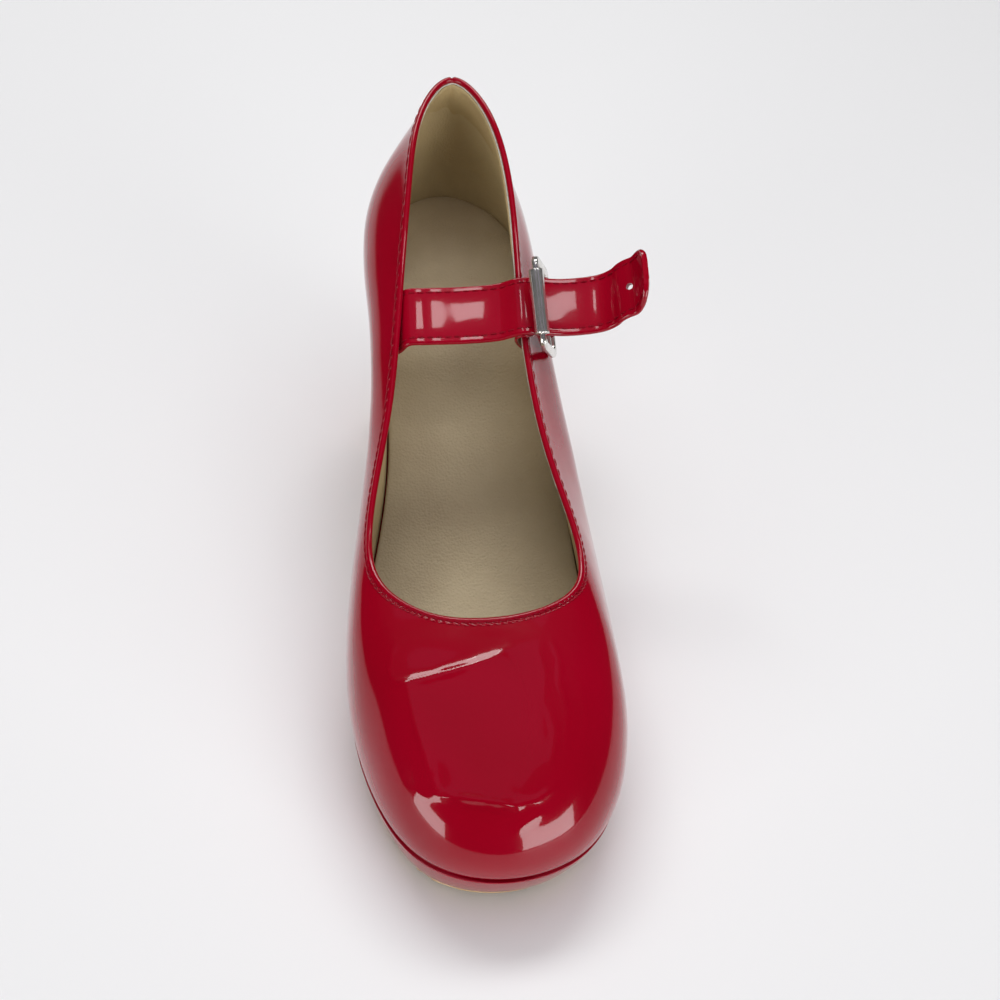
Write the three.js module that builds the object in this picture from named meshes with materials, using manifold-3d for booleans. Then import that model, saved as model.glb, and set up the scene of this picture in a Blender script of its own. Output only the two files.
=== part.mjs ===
import * as THREE from "three";
import { mergeVertices } from "three/addons/utils/BufferGeometryUtils.js";
import Module from "manifold-3d";

// A left mary jane shoe with a covered platform and a covered block heel, standing empty on a floor.
// Millimetres, +Z up. The origin is the centre of the heel's bottom face, the toe points to -Y and
// the outer side of the foot to +X. "Along" is measured from the back of the heel to the toe.

// Driving sizes of the last and of the opening
const LAST_LENGTH = 242;
const BALL_WIDTH = 81;
const WAIST_WIDTH = 62;
const SEAT_WIDTH = 58;
const SEAT_HEIGHT = 82;
const BALL_HEIGHT = 14.8;
const TOE_SPRING = 4.2;
const OPENING_LENGTH = 179;
const OPENING_WIDTH = 61;
const COLLAR_HEIGHT = 52;
const QUARTER_HEIGHT = 40;
const VAMP_HEIGHT = 43;

// Upper
const WALL = 1.6;
const BINDING_WIDTH = 2.8;
const BINDING_STEP = 0.4;

// Sole, outsole, heel and insole
const SOLE_EDGE = 1;
const SOLE_INSET = 2.2;
const SOLE_CROWN = 0.3;
const EDGE_EASE = 0.7;
const WAIST_THICKNESS = 5.5;
const OUTSOLE_THICKNESS = 3;
const OUTSOLE_INSET = 0.8;
const HEEL_LENGTH = 56;
const HEEL_INSET = 2;
const HEEL_TAPER_ALONG = 0.86;
const HEEL_TAPER_ACROSS = 0.84;
const TOP_LIFT_THICKNESS = 5;
const INSOLE_THICKNESS = 2.8;

// Strap, buckle and the tab that holds the buckle
const STRAP_WIDTH = 19.6;
const STRAP_THICKNESS = 1.8;
const STRAP_PLACE = 84;
const HOLE_DIAMETER = 2.2;
const HOLE_PLACE = 0.8;
const HOLE_RISE = 0.255;
const HOLE_LEAN = 0.64;
const EDGE_ROUNDING = 0.35;
const TAB_WIDTH = 18;
const TAB_THICKNESS = 1.2;
const TAB_DEPTH = 9;
const BUCKLE_LENGTH = 28;
const BUCKLE_WIDTH = 30.6;
const BUCKLE_WIRE = 3;
const BUCKLE_DEPTH = 2.2;
const BUCKLE_CORNER = 5;
const BUCKLE_YAW = 0.08;
const BUCKLE_LEAN = 0.36;
const BUCKLE_PITCH = 0.21;
const BAR_DIAMETER = 2;
const ROLLER_DIAMETER = 4.6;
const ROLLER_LENGTH = 20.8;
const ROLLER_PAST_TAB = 1;
const ROLLER_CHAMFER = 0.3;
const AXLE_OVERLAP = 2;
const PRONG_DIAMETER = 1.6;
const PRONG_LEAN = 1.6;
const PRONG_LENGTH = 10;

// Gap kept between pieces that touch
const GAP = 0.3;

// Mesh fineness
const COLUMNS = 88;
const BODY_ROWS = 9;
const CROSS_STEPS = 4;

// Where along the last the origin lies: the middle of the heel's bottom face
const HEEL_MIDDLE = HEEL_LENGTH / 2;

// Bottom of the last. Along is a share of LAST_LENGTH, pitch of the drop from seat to ball, toe of TOE_SPRING.
const BOTTOM = [
  // along, pitch, toe
  [0, 1, 0],
  [0.103, 0.956, 0],
  [0.207, 0.842, 0],
  [0.331, 0.609, 0],
  [0.455, 0.33, 0],
  [0.558, 0.12, 0],
  [0.653, 0.018, 0],
  [0.736, 0, 0],
  [0.847, 0, 0.14],
  [0.95, 0, 0.6],
  [1.033, 0, 1.28],
];

// Sections round the upper, each a curve from the feather line up to the topline.
// across, side_out, shoulder_out and neck_out are shares of the row's width size.
// rise, side_up, shoulder_up and neck_down are shares of the row's height size.
// along is a share of LAST_LENGTH, top_along of OPENING_LENGTH and top_across of OPENING_WIDTH.
const SEAT = { width: SEAT_WIDTH, height: COLLAR_HEIGHT };
const WAIST = { width: WAIST_WIDTH, height: QUARTER_HEIGHT };
const BALL = { width: BALL_WIDTH, height: VAMP_HEIGHT };
const SECTIONS = [
  // size, along, across, top_along, top_across, rise, side_out, side_up, shoulder_out, shoulder_up, neck_out, neck_down
  [SEAT, 0, 0, 0.032, 0, 1.018, 0.067, 0.225, 0.04, 0.635, 0.017, 0.267],
  [SEAT, 0.048, 0.338, 0.107, 0.187, 0.967, 0.04, 0.212, 0.014, 0.575, -0.009, 0.26],
  [SEAT, 0.149, 0.493, 0.255, 0.282, 0.865, 0.019, 0.204, -0.012, 0.488, -0.028, 0.244],
  [WAIST, 0.303, 0.502, 0.43, 0.302, 1, 0.029, 0.268, 0.021, 0.585, 0.016, 0.28],
  [WAIST, 0.457, 0.59, 0.644, 0.349, 1.095, 0.053, 0.26, 0.061, 0.518, 0.063, 0.248],
  [BALL, 0.609, 0.498, 0.813, 0.462, 1.04, 0.051, 0.235, 0.036, 0.512, 0.067, 0.188],
  [BALL, 0.744, 0.501, 0.919, 0.467, 1.027, 0.058, 0.277, 0, 0.679, 0.086, 0.149],
  [BALL, 0.868, 0.467, 0.969, 0.344, 1.006, 0.055, 0.22, -0.01, 0.62, 0.22, 0.116],
  [BALL, 0.962, 0.304, 0.991, 0.172, 0.993, 0.05, 0.18, -0.03, 0.58, 0.37, 0.116],
  [BALL, 1, 0.001, 1, -0.038, 0.99, 0.05, 0.18, -0.05, 0.56, 0.446, 0.116],
  [BALL, 0.974, -0.26, 0.994, -0.226, 0.988, 0.05, 0.18, -0.03, 0.58, 0.369, 0.116],
  [BALL, 0.888, -0.42, 0.968, -0.398, 0.998, 0.058, 0.2, -0.01, 0.6, 0.215, 0.116],
  [BALL, 0.756, -0.489, 0.896, -0.548, 1.01, 0.065, 0.272, 0.009, 0.693, 0.096, 0.142],
  [BALL, 0.612, -0.447, 0.763, -0.531, 0.99, 0.049, 0.228, 0.033, 0.505, 0.07, 0.188],
  [WAIST, 0.439, -0.435, 0.594, -0.413, 1.01, 0.058, 0.3, 0.097, 0.593, 0.153, 0.253],
  [WAIST, 0.288, -0.435, 0.422, -0.341, 1.007, 0.045, 0.305, 0.106, 0.65, 0.145, 0.275],
  [SEAT, 0.149, -0.493, 0.255, -0.28, 0.865, 0.05, 0.244, 0.097, 0.542, 0.1, 0.231],
  [SEAT, 0.048, -0.338, 0.107, -0.188, 0.965, 0.062, 0.235, 0.066, 0.596, 0.062, 0.25],
];

const lerp = THREE.MathUtils.lerp;
const smoothstep = THREE.MathUtils.smoothstep;
const vec = (x, y, z) => new THREE.Vector3(x, y, z);
const UP = vec(0, 0, 1);

// A natural cubic spline through the points (xs, ys)
function splineThrough(xs, ys) {
  const n = xs.length;
  const bend = new Array(n).fill(0);
  const carry = new Array(n).fill(0);
  for (let i = 1; i < n - 1; i++) {
    const before = xs[i] - xs[i - 1];
    const after = xs[i + 1] - xs[i];
    const turn = (ys[i + 1] - ys[i]) / after - (ys[i] - ys[i - 1]) / before;
    const pivot = 2 * (before + after) - before * carry[i - 1];
    carry[i] = after / pivot;
    bend[i] = (6 * turn - before * bend[i - 1]) / pivot;
  }
  for (let i = n - 2; i > 0; i--) bend[i] -= carry[i] * bend[i + 1];
  return (x) => {
    let i = 0;
    while (i < n - 2 && x > xs[i + 1]) i++;
    const h = xs[i + 1] - xs[i];
    const b = (x - xs[i]) / h;
    const a = 1 - b;
    const sag = ((a ** 3 - a) * bend[i] + (b ** 3 - b) * bend[i + 1]) * (h * h / 6);
    return a * ys[i] + b * ys[i + 1] + sag;
  };
}

const lastBottom = splineThrough(
  BOTTOM.map(([along]) => along * LAST_LENGTH),
  BOTTOM.map(([, pitch, toe]) => lerp(BALL_HEIGHT, SEAT_HEIGHT, pitch) + toe * TOE_SPRING),
);

// A point given by its distance along the last, its distance across and its height
const place = (along, across, height) => vec(across, HEEL_MIDDLE - along, height);

// One row of the section table in millimetres
function sectionSizes([size, along, across, topAlong, topAcross, rise, ...shape]) {
  const outs = [0, 2, 4].map((i) => shape[i] * size.width);
  const ups = [1, 3, 5].map((i) => shape[i] * size.height);
  return [along * LAST_LENGTH, across * size.width, topAlong * OPENING_LENGTH,
    topAcross * OPENING_WIDTH, rise * size.height, outs[0], ups[0], outs[1], ups[1], outs[2], ups[2]];
}

// The sections run once round the shoe, so the table is wrapped past both ends before it is splined
const SECTION_MM = SECTIONS.map(sectionSizes);
const WRAP = 6;
const sectionAt = (() => {
  const n = SECTION_MM.length;
  const knots = [0];
  for (let i = 0; i < n; i++) {
    const a = SECTION_MM[i];
    const b = SECTION_MM[(i + 1) % n];
    knots.push(knots[i] + Math.hypot(b[0] - a[0], b[1] - a[1]));
  }
  const girth = knots[n];
  const wrapped = [];
  for (let i = -WRAP; i <= n + WRAP; i++) {
    const turn = Math.floor(i / n);
    wrapped.push([knots[i - turn * n] / girth + turn, SECTION_MM[i - turn * n]]);
  }
  const xs = wrapped.map(([knot]) => knot);
  const columns = SECTION_MM[0].map((_, c) => splineThrough(xs, wrapped.map(([, row]) => row[c])));
  return (u) => columns.map((spline) => spline(u - Math.floor(u)));
})();

// The plan outline's point, and its outward direction, at u from 0 to 1 round the feather line
function featherAt(u) {
  const STEP = 1e-4;
  const [along, across] = sectionAt(u);
  const ahead = sectionAt(u + STEP);
  const behind = sectionAt(u - STEP);
  const out = vec(ahead[0] - behind[0], ahead[1] - behind[1], 0).normalize();
  return { along, across, out };
}

// The point of the outline set off outward by a distance, as along and across
function outlineAt(u, offset) {
  const { along, across, out } = featherAt(u);
  return [along - out.y * offset, across + out.x * offset];
}

// The control points of the upper's section curve at u
function sectionCurve(u) {
  const [along, across, topAlong, topAcross, rise, sideOut, sideUp, shoulderOut, shoulderUp, neckOut, neckDown] =
    sectionAt(u);
  const { out } = featherAt(u);
  const outward = vec(out.x, out.y, 0);
  const foot = place(along, across, lastBottom(along) + GAP);
  const top = place(topAlong, topAcross, lastBottom(topAlong) + rise);
  const from = (base, o, h) => base.clone().addScaledVector(outward, o).addScaledVector(UP, h);
  return [foot, from(foot, sideOut, sideUp), from(foot, shoulderOut, shoulderUp), from(top, neckOut, -neckDown), top];
}

// A point on a fourth degree Bezier curve
function bezier(points, v) {
  const w = 1 - v;
  const weights = [w ** 4, 4 * w ** 3 * v, 6 * w * w * v * v, 4 * w * v ** 3, v ** 4];
  const p = vec(0, 0, 0);
  points.forEach((point, i) => p.addScaledVector(point, weights[i]));
  return p;
}

const skin = (u, v) => bezier(sectionCurve(u), v);

// The outward normal of the upper's skin
function skinNormal(u, v) {
  const STEP = 1e-3;
  const low = Math.max(v - STEP, 0);
  const high = Math.min(v + STEP, 1);
  const up = skin(u, high).sub(skin(u, low));
  const round = skin(u + STEP, v).sub(skin(u - STEP, v));
  return up.cross(round).normalize();
}

// The value of v that lies a distance below the topline on the section curve at u
function belowTop(u, distance) {
  const FINE = 80;
  const points = sectionCurve(u);
  let last = bezier(points, 1);
  let walked = 0;
  for (let i = FINE - 1; i >= 0; i--) {
    const p = bezier(points, i / FINE);
    const step = p.distanceTo(last);
    if (walked + step >= distance) return (i + 1 - (distance - walked) / step) / FINE;
    walked += step;
    last = p;
  }
  return 0;
}

// A geometry from a list of triangle corners, without the triangles that have no area
function solidFrom(corners) {
  const kept = [];
  const same = (a, b) => a.distanceToSquared(b) < 1e-8;
  for (let i = 0; i < corners.length; i += 3) {
    const [a, b, c] = corners.slice(i, i + 3);
    if (!same(a, b) && !same(b, c) && !same(c, a)) kept.push(a, b, c);
  }
  return mergeVertices(new THREE.BufferGeometry().setFromPoints(kept), 1e-4);
}

const quad = (corners, a, b, c, d) => corners.push(a, b, c, a, c, d);

// Rings that follow each other round a closed section, such as a hollow wall
function ringSolid(rings) {
  const corners = [];
  rings.forEach((ring, r) => {
    const next = rings[(r + 1) % rings.length];
    ring.forEach((point, j) => {
      const k = (j + 1) % ring.length;
      quad(corners, point, next[j], next[k], ring[k]);
    });
  });
  return solidFrom(corners);
}

// A solid between levels, top first. A level has the outer and the inner side's points, from toe to heel.
function plateSolid(levels, steps = CROSS_STEPS) {
  const corners = [];
  const rows = levels.map(({ outer, inner, height }) =>
    outer.map((point, i) =>
      Array.from({ length: steps + 1 }, (_, k) => {
        const along = lerp(point[0], inner[i][0], k / steps);
        return place(along, lerp(point[1], inner[i][1], k / steps), height(along));
      }),
    ),
  );
  const last = rows[0].length - 1;
  const cap = (grid, down) => {
    for (let i = 0; i < last; i++)
      for (let k = 0; k < steps; k++) {
        const cell = [grid[i][k], grid[i + 1][k], grid[i + 1][k + 1], grid[i][k + 1]];
        if (down) cell.reverse();
        quad(corners, ...cell);
      }
  };
  cap(rows[0], false);
  cap(rows[rows.length - 1], true);
  const rims = rows.map((grid) => [
    ...grid.map((row) => row[0]),
    ...grid[last].slice(1, -1),
    ...grid.map((row) => row[steps]).reverse(),
    ...grid[0].slice(1, -1).reverse(),
  ]);
  for (let r = 0; r + 1 < rims.length; r++)
    rims[r].forEach((point, j) => {
      const k = (j + 1) % rims[r].length;
      quad(corners, rims[r + 1][j], rims[r + 1][k], rims[r][k], point);
    });
  return solidFrom(corners);
}

// u at the foremost point of the feather line
const TIP = (() => {
  const TRIES = 2000;
  let best = 0;
  for (let i = 1; i < TRIES; i++) if (featherAt(i / TRIES).along > featherAt(best).along) best = i / TRIES;
  return best;
})();
const TOE = featherAt(TIP).along;

// u on one side of the shoe where a measure that grows towards the toe reaches a value
function findU(outer, measure, value) {
  let [a, b] = [outer ? 0 : 1, TIP];
  for (let i = 0; i < 40; i++) {
    const m = (a + b) / 2;
    if (measure(m) < value) a = m;
    else b = m;
  }
  return (a + b) / 2;
}

// u on the outer and on the inner side, at a distance along the feather line
const sideUs = (along) => [true, false].map((outer) => findU(outer, (u) => featherAt(u).along, along));

// Such pairs from the toe back to the heel, crowded where the outline turns
const FULL_PAIRS = Array.from({ length: COLUMNS / 2 + 1 }, (_, i) =>
  sideUs((TOE * (1 + Math.cos((2 * Math.PI * i) / COLUMNS))) / 2),
);

// A level of a plate along the feather outline, set off by a distance
function outlineLevel(pairs, offset, height) {
  return {
    outer: pairs.map(([u]) => outlineAt(u, offset)),
    inner: pairs.map(([, u]) => outlineAt(u, offset)),
    height,
  };
}

// The floor side of the outsole: flat under the ball, sprung at the toe, close to the last at the waist
const WAIST_TO = 0.45 * LAST_LENGTH;
const FLAT_FROM = 0.62 * LAST_LENGTH;
const SPRING_FROM = 0.847 * LAST_LENGTH;
const floorSide = (along) => {
  const spring = Math.max(along - SPRING_FROM, 0) / (LAST_LENGTH - SPRING_FROM);
  const thin = lastBottom(along) - WAIST_THICKNESS - OUTSOLE_THICKNESS - GAP;
  return lerp(thin, spring * spring * TOE_SPRING, smoothstep(along, WAIST_TO, FLAT_FROM));
};
const soleUnder = (along) => floorSide(along) + OUTSOLE_THICKNESS + GAP;

function upper() {
  const around = Array.from({ length: COLUMNS }, (_, j) => j / COLUMNS);
  const lengths = around.map((u) => {
    const points = sectionCurve(u);
    let sum = 0;
    for (let i = 1; i <= 40; i++) sum += bezier(points, i / 40).distanceTo(bezier(points, (i - 1) / 40));
    return sum;
  });
  const row = (distance, offset) =>
    around.map((u, j) => {
      const v = belowTop(u, distance(lengths[j]));
      const p = skin(u, v).addScaledVector(skinNormal(u, v), offset);
      const footLevel = sectionCurve(u)[0].z;
      if (v === 0) p.z = footLevel;
      return p;
    });
  const body = (i) => (length) => (length - BINDING_WIDTH) * (1 - i / BODY_ROWS) + BINDING_WIDTH;
  const rings = [];
  for (let i = 0; i <= BODY_ROWS; i++) rings.push(row(i ? body(i) : () => Infinity, 0));
  rings.push(row(() => BINDING_WIDTH - BINDING_STEP / 2, BINDING_STEP));
  // the rim is rounded from the binding's face over to the lining
  const rim = (WALL + BINDING_STEP) / 2;
  for (let i = 0; i <= 4; i++) {
    const turn = (Math.PI * i) / 4;
    const middle = BINDING_STEP - rim;
    rings.push(row(() => rim * (1 - Math.sin(turn)), middle + rim * Math.cos(turn)));
  }
  for (let i = BODY_ROWS - 1; i >= 0; i--) rings.push(row(i ? body(i) : () => Infinity, -WALL));
  return ringSolid(rings);
}

function sole() {
  const slope = (share) => lerp(SOLE_EDGE, -SOLE_INSET, share);
  const level = (share, offset) =>
    outlineLevel(FULL_PAIRS, offset, (along) => lerp(lastBottom(along), soleUnder(along), share));
  return plateSolid([
    level(0, slope(0) - EDGE_EASE),
    level(0.1, slope(0.1)),
    level(0.5, slope(0.5) + SOLE_CROWN),
    level(0.94, slope(0.94)),
    level(1, slope(1) - EDGE_EASE),
  ]);
}

function outsole() {
  const pairs = [...FULL_PAIRS.filter(([u]) => featherAt(u).along > HEEL_LENGTH + 1),
    sideUs(HEEL_LENGTH + GAP)];
  const edge = -SOLE_INSET - OUTSOLE_INSET;
  return plateSolid([outlineLevel(pairs, edge, (along) => soleUnder(along) - GAP),
    outlineLevel(pairs, edge, floorSide)]);
}

function insole() {
  const edge = -WALL - GAP;
  const level = (height, offset) => outlineLevel(FULL_PAIRS, edge + offset, (along) => lastBottom(along) + height);
  const top = GAP + INSOLE_THICKNESS;
  return plateSolid([level(top, -EDGE_EASE), level(top - EDGE_EASE, 0), level(GAP, 0)]);
}

// A level of the heel, from 0 at the seat to 1 at the bottom, drawn in towards the heel's middle
const HEEL_PAIRS = [sideUs(HEEL_LENGTH), ...FULL_PAIRS.filter(([u]) => featherAt(u).along < HEEL_LENGTH - 1)];
function heelLevel(share, height) {
  const drawn = 1 - (1 - share) ** 2;
  const alongScale = lerp(1, HEEL_TAPER_ALONG, drawn);
  const acrossScale = lerp(1, HEEL_TAPER_ACROSS, drawn);
  const side = (index) =>
    HEEL_PAIRS.map((pair) => {
      const [along, across] = outlineAt(pair[index], -HEEL_INSET);
      return [lerp(HEEL_MIDDLE, along, alongScale), across * acrossScale];
    });
  return { outer: side(0), inner: side(1), height };
}

const seatUnder = (along) => lastBottom(along) - WAIST_THICKNESS - 2 * GAP;

function heel() {
  const LEVELS = 7;
  const bottom = TOP_LIFT_THICKNESS + GAP;
  return plateSolid(
    Array.from({ length: LEVELS + 1 }, (_, i) => {
      const share = i / LEVELS;
      return heelLevel(share, (along) => lerp(seatUnder(along), bottom, share));
    }),
  );
}

function topLift() {
  return plateSolid([heelLevel(1, () => TOP_LIFT_THICKNESS), heelLevel(1, () => 0)]);
}

// The strap's place: where it crosses the topline on each side, and its slope there
const toplineAt = (along, outer) => findU(outer, (u) => HEEL_MIDDLE - skin(u, 1).y, along);
const OUTER_U = toplineAt(STRAP_PLACE, true);
const INNER_U = toplineAt(STRAP_PLACE, false);
const RIM_OUTER = skin(OUTER_U, 1);
const RIM_INNER = skin(INNER_U, 1);
const RIM_STEP = 5;
const rimSlope = (() => {
  const back = skin(toplineAt(STRAP_PLACE - RIM_STEP, true), 1);
  const front = skin(toplineAt(STRAP_PLACE + RIM_STEP, true), 1);
  return Math.atan2(back.z - front.z, back.y - front.y);
})();

// Directions of the strap: its width runs up and back along the topline, its face looks up and forward
const STRAP_ACROSS = vec(0, Math.cos(rimSlope), Math.sin(rimSlope));
const STRAP_UP = vec(0, -Math.sin(rimSlope), Math.cos(rimSlope));
const STRAP_MIDDLE = vec(0, HEEL_MIDDLE - STRAP_PLACE, RIM_OUTER.z);

// A band with a profile of x and height in the strap's plane, swept over its width.
// side gives the direction of its width, and shift its step aside, at each share of its length.
function band({ profile, thickness, halfWidth, lift, fineness, side = () => STRAP_ACROSS, shift = () => 0 }) {
  const curve = new THREE.CatmullRomCurve3(profile.map(([x, rise]) => vec(x, 0, rise)), false, "centripetal");
  const count = profile.length * fineness;
  const rings = curve.getSpacedPoints(count).map((p, i) => {
    const t = curve.getTangentAt(i / count);
    const share = i / count;
    const normal = vec(-t.z, 0, t.x);
    const half = halfWidth(share);
    const across = side(share);
    const edge = Math.min(EDGE_ROUNDING, thickness / 3);
    const at = (distance, off) =>
      STRAP_MIDDLE.clone()
        .add(vec(p.x + normal.x * off, 0, 0))
        .addScaledVector(lift, p.z + normal.z * off)
        .addScaledVector(across, distance + shift(share));
    const h = thickness / 2;
    return [at(-half, h - edge), at(-half, edge - h), at(edge - half, -h), at(half - edge, -h),
      at(half, edge - h), at(half, h - edge), at(half - edge, h), at(edge - half, h)];
  });
  const corners = [];
  for (let i = 0; i + 1 < rings.length; i++)
    rings[i].forEach((point, j) => {
      const k = (j + 1) % rings[i].length;
      quad(corners, point, rings[i][k], rings[i + 1][k], rings[i + 1][j]);
    });
  const cap = (ring, flip) => {
    for (let j = 1; j + 1 < ring.length; j++)
      corners.push(ring[0], flip ? ring[j] : ring[j + 1], flip ? ring[j + 1] : ring[j]);
  };
  cap(rings[0], false);
  cap(rings[rings.length - 1], true);
  return solidFrom(corners);
}

// The middle of the rim's rounding on the outer side, as x and height in the strap's plane
const inStrapPlane = (p) => [p.x, p.clone().sub(STRAP_MIDDLE).dot(STRAP_UP)];
const RIM_RADIUS = (WALL + BINDING_STEP) / 2;
const [RIM_X, RIM_RISE] = (() => {
  const v = belowTop(OUTER_U, RIM_RADIUS);
  return inStrapPlane(skin(OUTER_U, v).addScaledVector(skinNormal(OUTER_U, v), BINDING_STEP - RIM_RADIUS));
})();

// A point inside the wall, a depth below the topline and clear of the lining, in the strap's plane
function insideWall(u, depth, clearance) {
  const v = belowTop(u, depth);
  return inStrapPlane(skin(u, v).addScaledVector(skinNormal(u, v), -WALL - clearance));
}

// The tab's line turns over the rim at this radius, and the strap passes over the tab
const BEND_ROOM = 0.8;
const TAB_BEND = RIM_RADIUS + GAP + BEND_ROOM + TAB_THICKNESS / 2;
const STRAP_OVER = RIM_RISE + TAB_BEND + TAB_THICKNESS / 2 + GAP + STRAP_THICKNESS / 2;
const ROLLER_X = RIM_X + TAB_BEND + ROLLER_PAST_TAB;
const FREE_LENGTH = 36;

// The strap's free end lifts more upright than its face leans
const STRAP_LIFT = STRAP_UP.clone().add(UP).normalize();

// The strap's line in its plane: up out of the inner wall, over the foot, over the outer rim and on.
// The free part's lengths are shares of FREE_LENGTH.
const FREE_LINE = [
  // along, rise
  [0.25, -0.02],
  [0.5, 0.01],
  [0.62, 0.055],
  [0.69, 0.12],
  [0.72, 0.18],
  [0.77, 0.235],
  [0.83, 0.28],
  [0.855, 0.36],
  [0.865, 0.44],
  [0.87, 0.51],
];
const SEWN_DEPTH = 11;
const STRAP_SAG = 1.6;

function strapProfile() {
  const clear = GAP + BEND_ROOM + STRAP_THICKNESS / 2;
  const start = insideWall(INNER_U, SEWN_DEPTH * 0.3, clear);
  const across = (share) => lerp(start[0], RIM_X, share);
  return [
    insideWall(INNER_U, SEWN_DEPTH, clear),
    insideWall(INNER_U, SEWN_DEPTH * 0.62, clear),
    start,
    [across(0.06), -STRAP_SAG],
    [across(0.2), -STRAP_SAG * 0.7],
    [across(0.5), -STRAP_SAG * 0.5],
    [across(0.8), lerp(-STRAP_SAG, STRAP_OVER, 0.45)],
    [RIM_X - TAB_BEND / 2, STRAP_OVER],
    [ROLLER_X, STRAP_OVER],
    ...FREE_LINE.map(([along, rise]) => [ROLLER_X + along * FREE_LENGTH, STRAP_OVER + rise * FREE_LENGTH]),
  ];
}

const wasm = await Module();
wasm.setup();

function toManifold(geometry) {
  const bare = geometry.clone();
  bare.deleteAttribute("normal");
  bare.deleteAttribute("uv");
  const merged = mergeVertices(bare, 1e-4);
  return new wasm.Manifold(
    new wasm.Mesh({
      numProp: 3,
      vertProperties: new Float32Array(merged.attributes.position.array),
      triVerts: new Uint32Array(merged.index.array),
    }),
  );
}

function toGeometry(solid) {
  const mesh = solid.getMesh();
  return new THREE.BufferGeometry()
    .setAttribute("position", new THREE.BufferAttribute(mesh.vertProperties, 3))
    .setIndex(new THREE.BufferAttribute(mesh.triVerts, 1));
}

function strap() {
  const TIP_SHARE = 0.92;
  const TIP_NARROWING = 0.6;
  const half = (share) => {
    const t = Math.max(share - TIP_SHARE, 0) / (1 - TIP_SHARE);
    return (STRAP_WIDTH / 2) * (1 - TIP_NARROWING + TIP_NARROWING * Math.sqrt(1 - t * t));
  };
  const body = toManifold(
    band({ profile: strapProfile(), thickness: STRAP_THICKNESS, halfWidth: half, lift: STRAP_LIFT, fineness: 3 }),
  );
  const punch = new THREE.CylinderGeometry(HOLE_DIAMETER / 2, HOLE_DIAMETER / 2, 4 * STRAP_THICKNESS, 12);
  const through = STRAP_UP.clone().multiplyScalar(Math.cos(HOLE_LEAN)).add(vec(-Math.sin(HOLE_LEAN), 0, 0));
  punch.applyQuaternion(new THREE.Quaternion().setFromUnitVectors(vec(0, 1, 0), through));
  const hole = STRAP_MIDDLE.clone()
    .add(vec(ROLLER_X + FREE_LENGTH * HOLE_PLACE, 0, 0))
    .addScaledVector(STRAP_LIFT, STRAP_OVER + FREE_LENGTH * HOLE_RISE);
  punch.translate(hole.x, hole.y, hole.z);
  return toGeometry(body.subtract(toManifold(punch)));
}

// The buckle's own frame: its bars run across the strap, pitched up at the back so that the roller
// clears the strap's front edge, and it leans out along the upper's wall
const PITCH_ROOM = (Math.sin(BUCKLE_PITCH) * STRAP_WIDTH) / 2;
const ROLLER_RISE = STRAP_OVER + STRAP_THICKNESS / 2 + GAP + PITCH_ROOM + ROLLER_DIAMETER / 2;
const BAR_SPACING = (BUCKLE_LENGTH - BUCKLE_WIRE) / 2;
const BUCKLE_AXES = (() => {
  const bar = STRAP_ACROSS.clone().multiplyScalar(Math.cos(BUCKLE_PITCH));
  bar.addScaledVector(STRAP_UP, Math.sin(BUCKLE_PITCH)).add(vec(-BUCKLE_YAW, 0, 0)).normalize();
  const up = STRAP_UP.clone().add(vec(-BUCKLE_LEAN, 0, 0));
  up.addScaledVector(bar, -up.dot(bar)).normalize();
  const face = bar.clone().cross(up);
  return new THREE.Matrix4().makeBasis(bar, up, face);
})();
const ROLLER_CENTRE = STRAP_MIDDLE.clone().add(vec(ROLLER_X, 0, 0)).addScaledVector(STRAP_UP, ROLLER_RISE);
const BUCKLE_PLACE = BUCKLE_AXES.clone().setPosition(ROLLER_CENTRE);
// the centre bar's place in the buckle's frame is (0, -BAR_SPACING, 0)
const BAR_CENTRE = vec(0, -BAR_SPACING, 0).applyMatrix4(BUCKLE_PLACE);
// the bars' direction with a unit step across the strap, and the centre bar's place in the strap's plane
const BAR_SIDE = vec(1, 0, 0).transformDirection(BUCKLE_AXES);
BAR_SIDE.divideScalar(BAR_SIDE.dot(STRAP_ACROSS));
const BAR_OFF_PLANE = BAR_CENTRE.clone().sub(STRAP_MIDDLE).dot(STRAP_ACROSS);
const BAR_IN_PLANE = BAR_CENTRE.clone().addScaledVector(BAR_SIDE, -BAR_OFF_PLANE);

function roundedRectangle(width, height, radius) {
  const shape = new THREE.Shape();
  const [x, y] = [width / 2, height / 2];
  shape.absarc(x - radius, y - radius, radius, 0, Math.PI / 2);
  shape.absarc(radius - x, y - radius, radius, Math.PI / 2, Math.PI);
  shape.absarc(radius - x, radius - y, radius, Math.PI, 1.5 * Math.PI);
  shape.absarc(x - radius, radius - y, radius, 1.5 * Math.PI, 2 * Math.PI);
  return shape;
}

// A round bar between the buckle's long sides at a height in its frame
function crossBar(diameter, length, up) {
  const bar = new THREE.CylinderGeometry(diameter / 2, diameter / 2, length, 12);
  bar.rotateZ(Math.PI / 2);
  bar.translate(0, up, 0);
  return bar;
}

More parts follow.
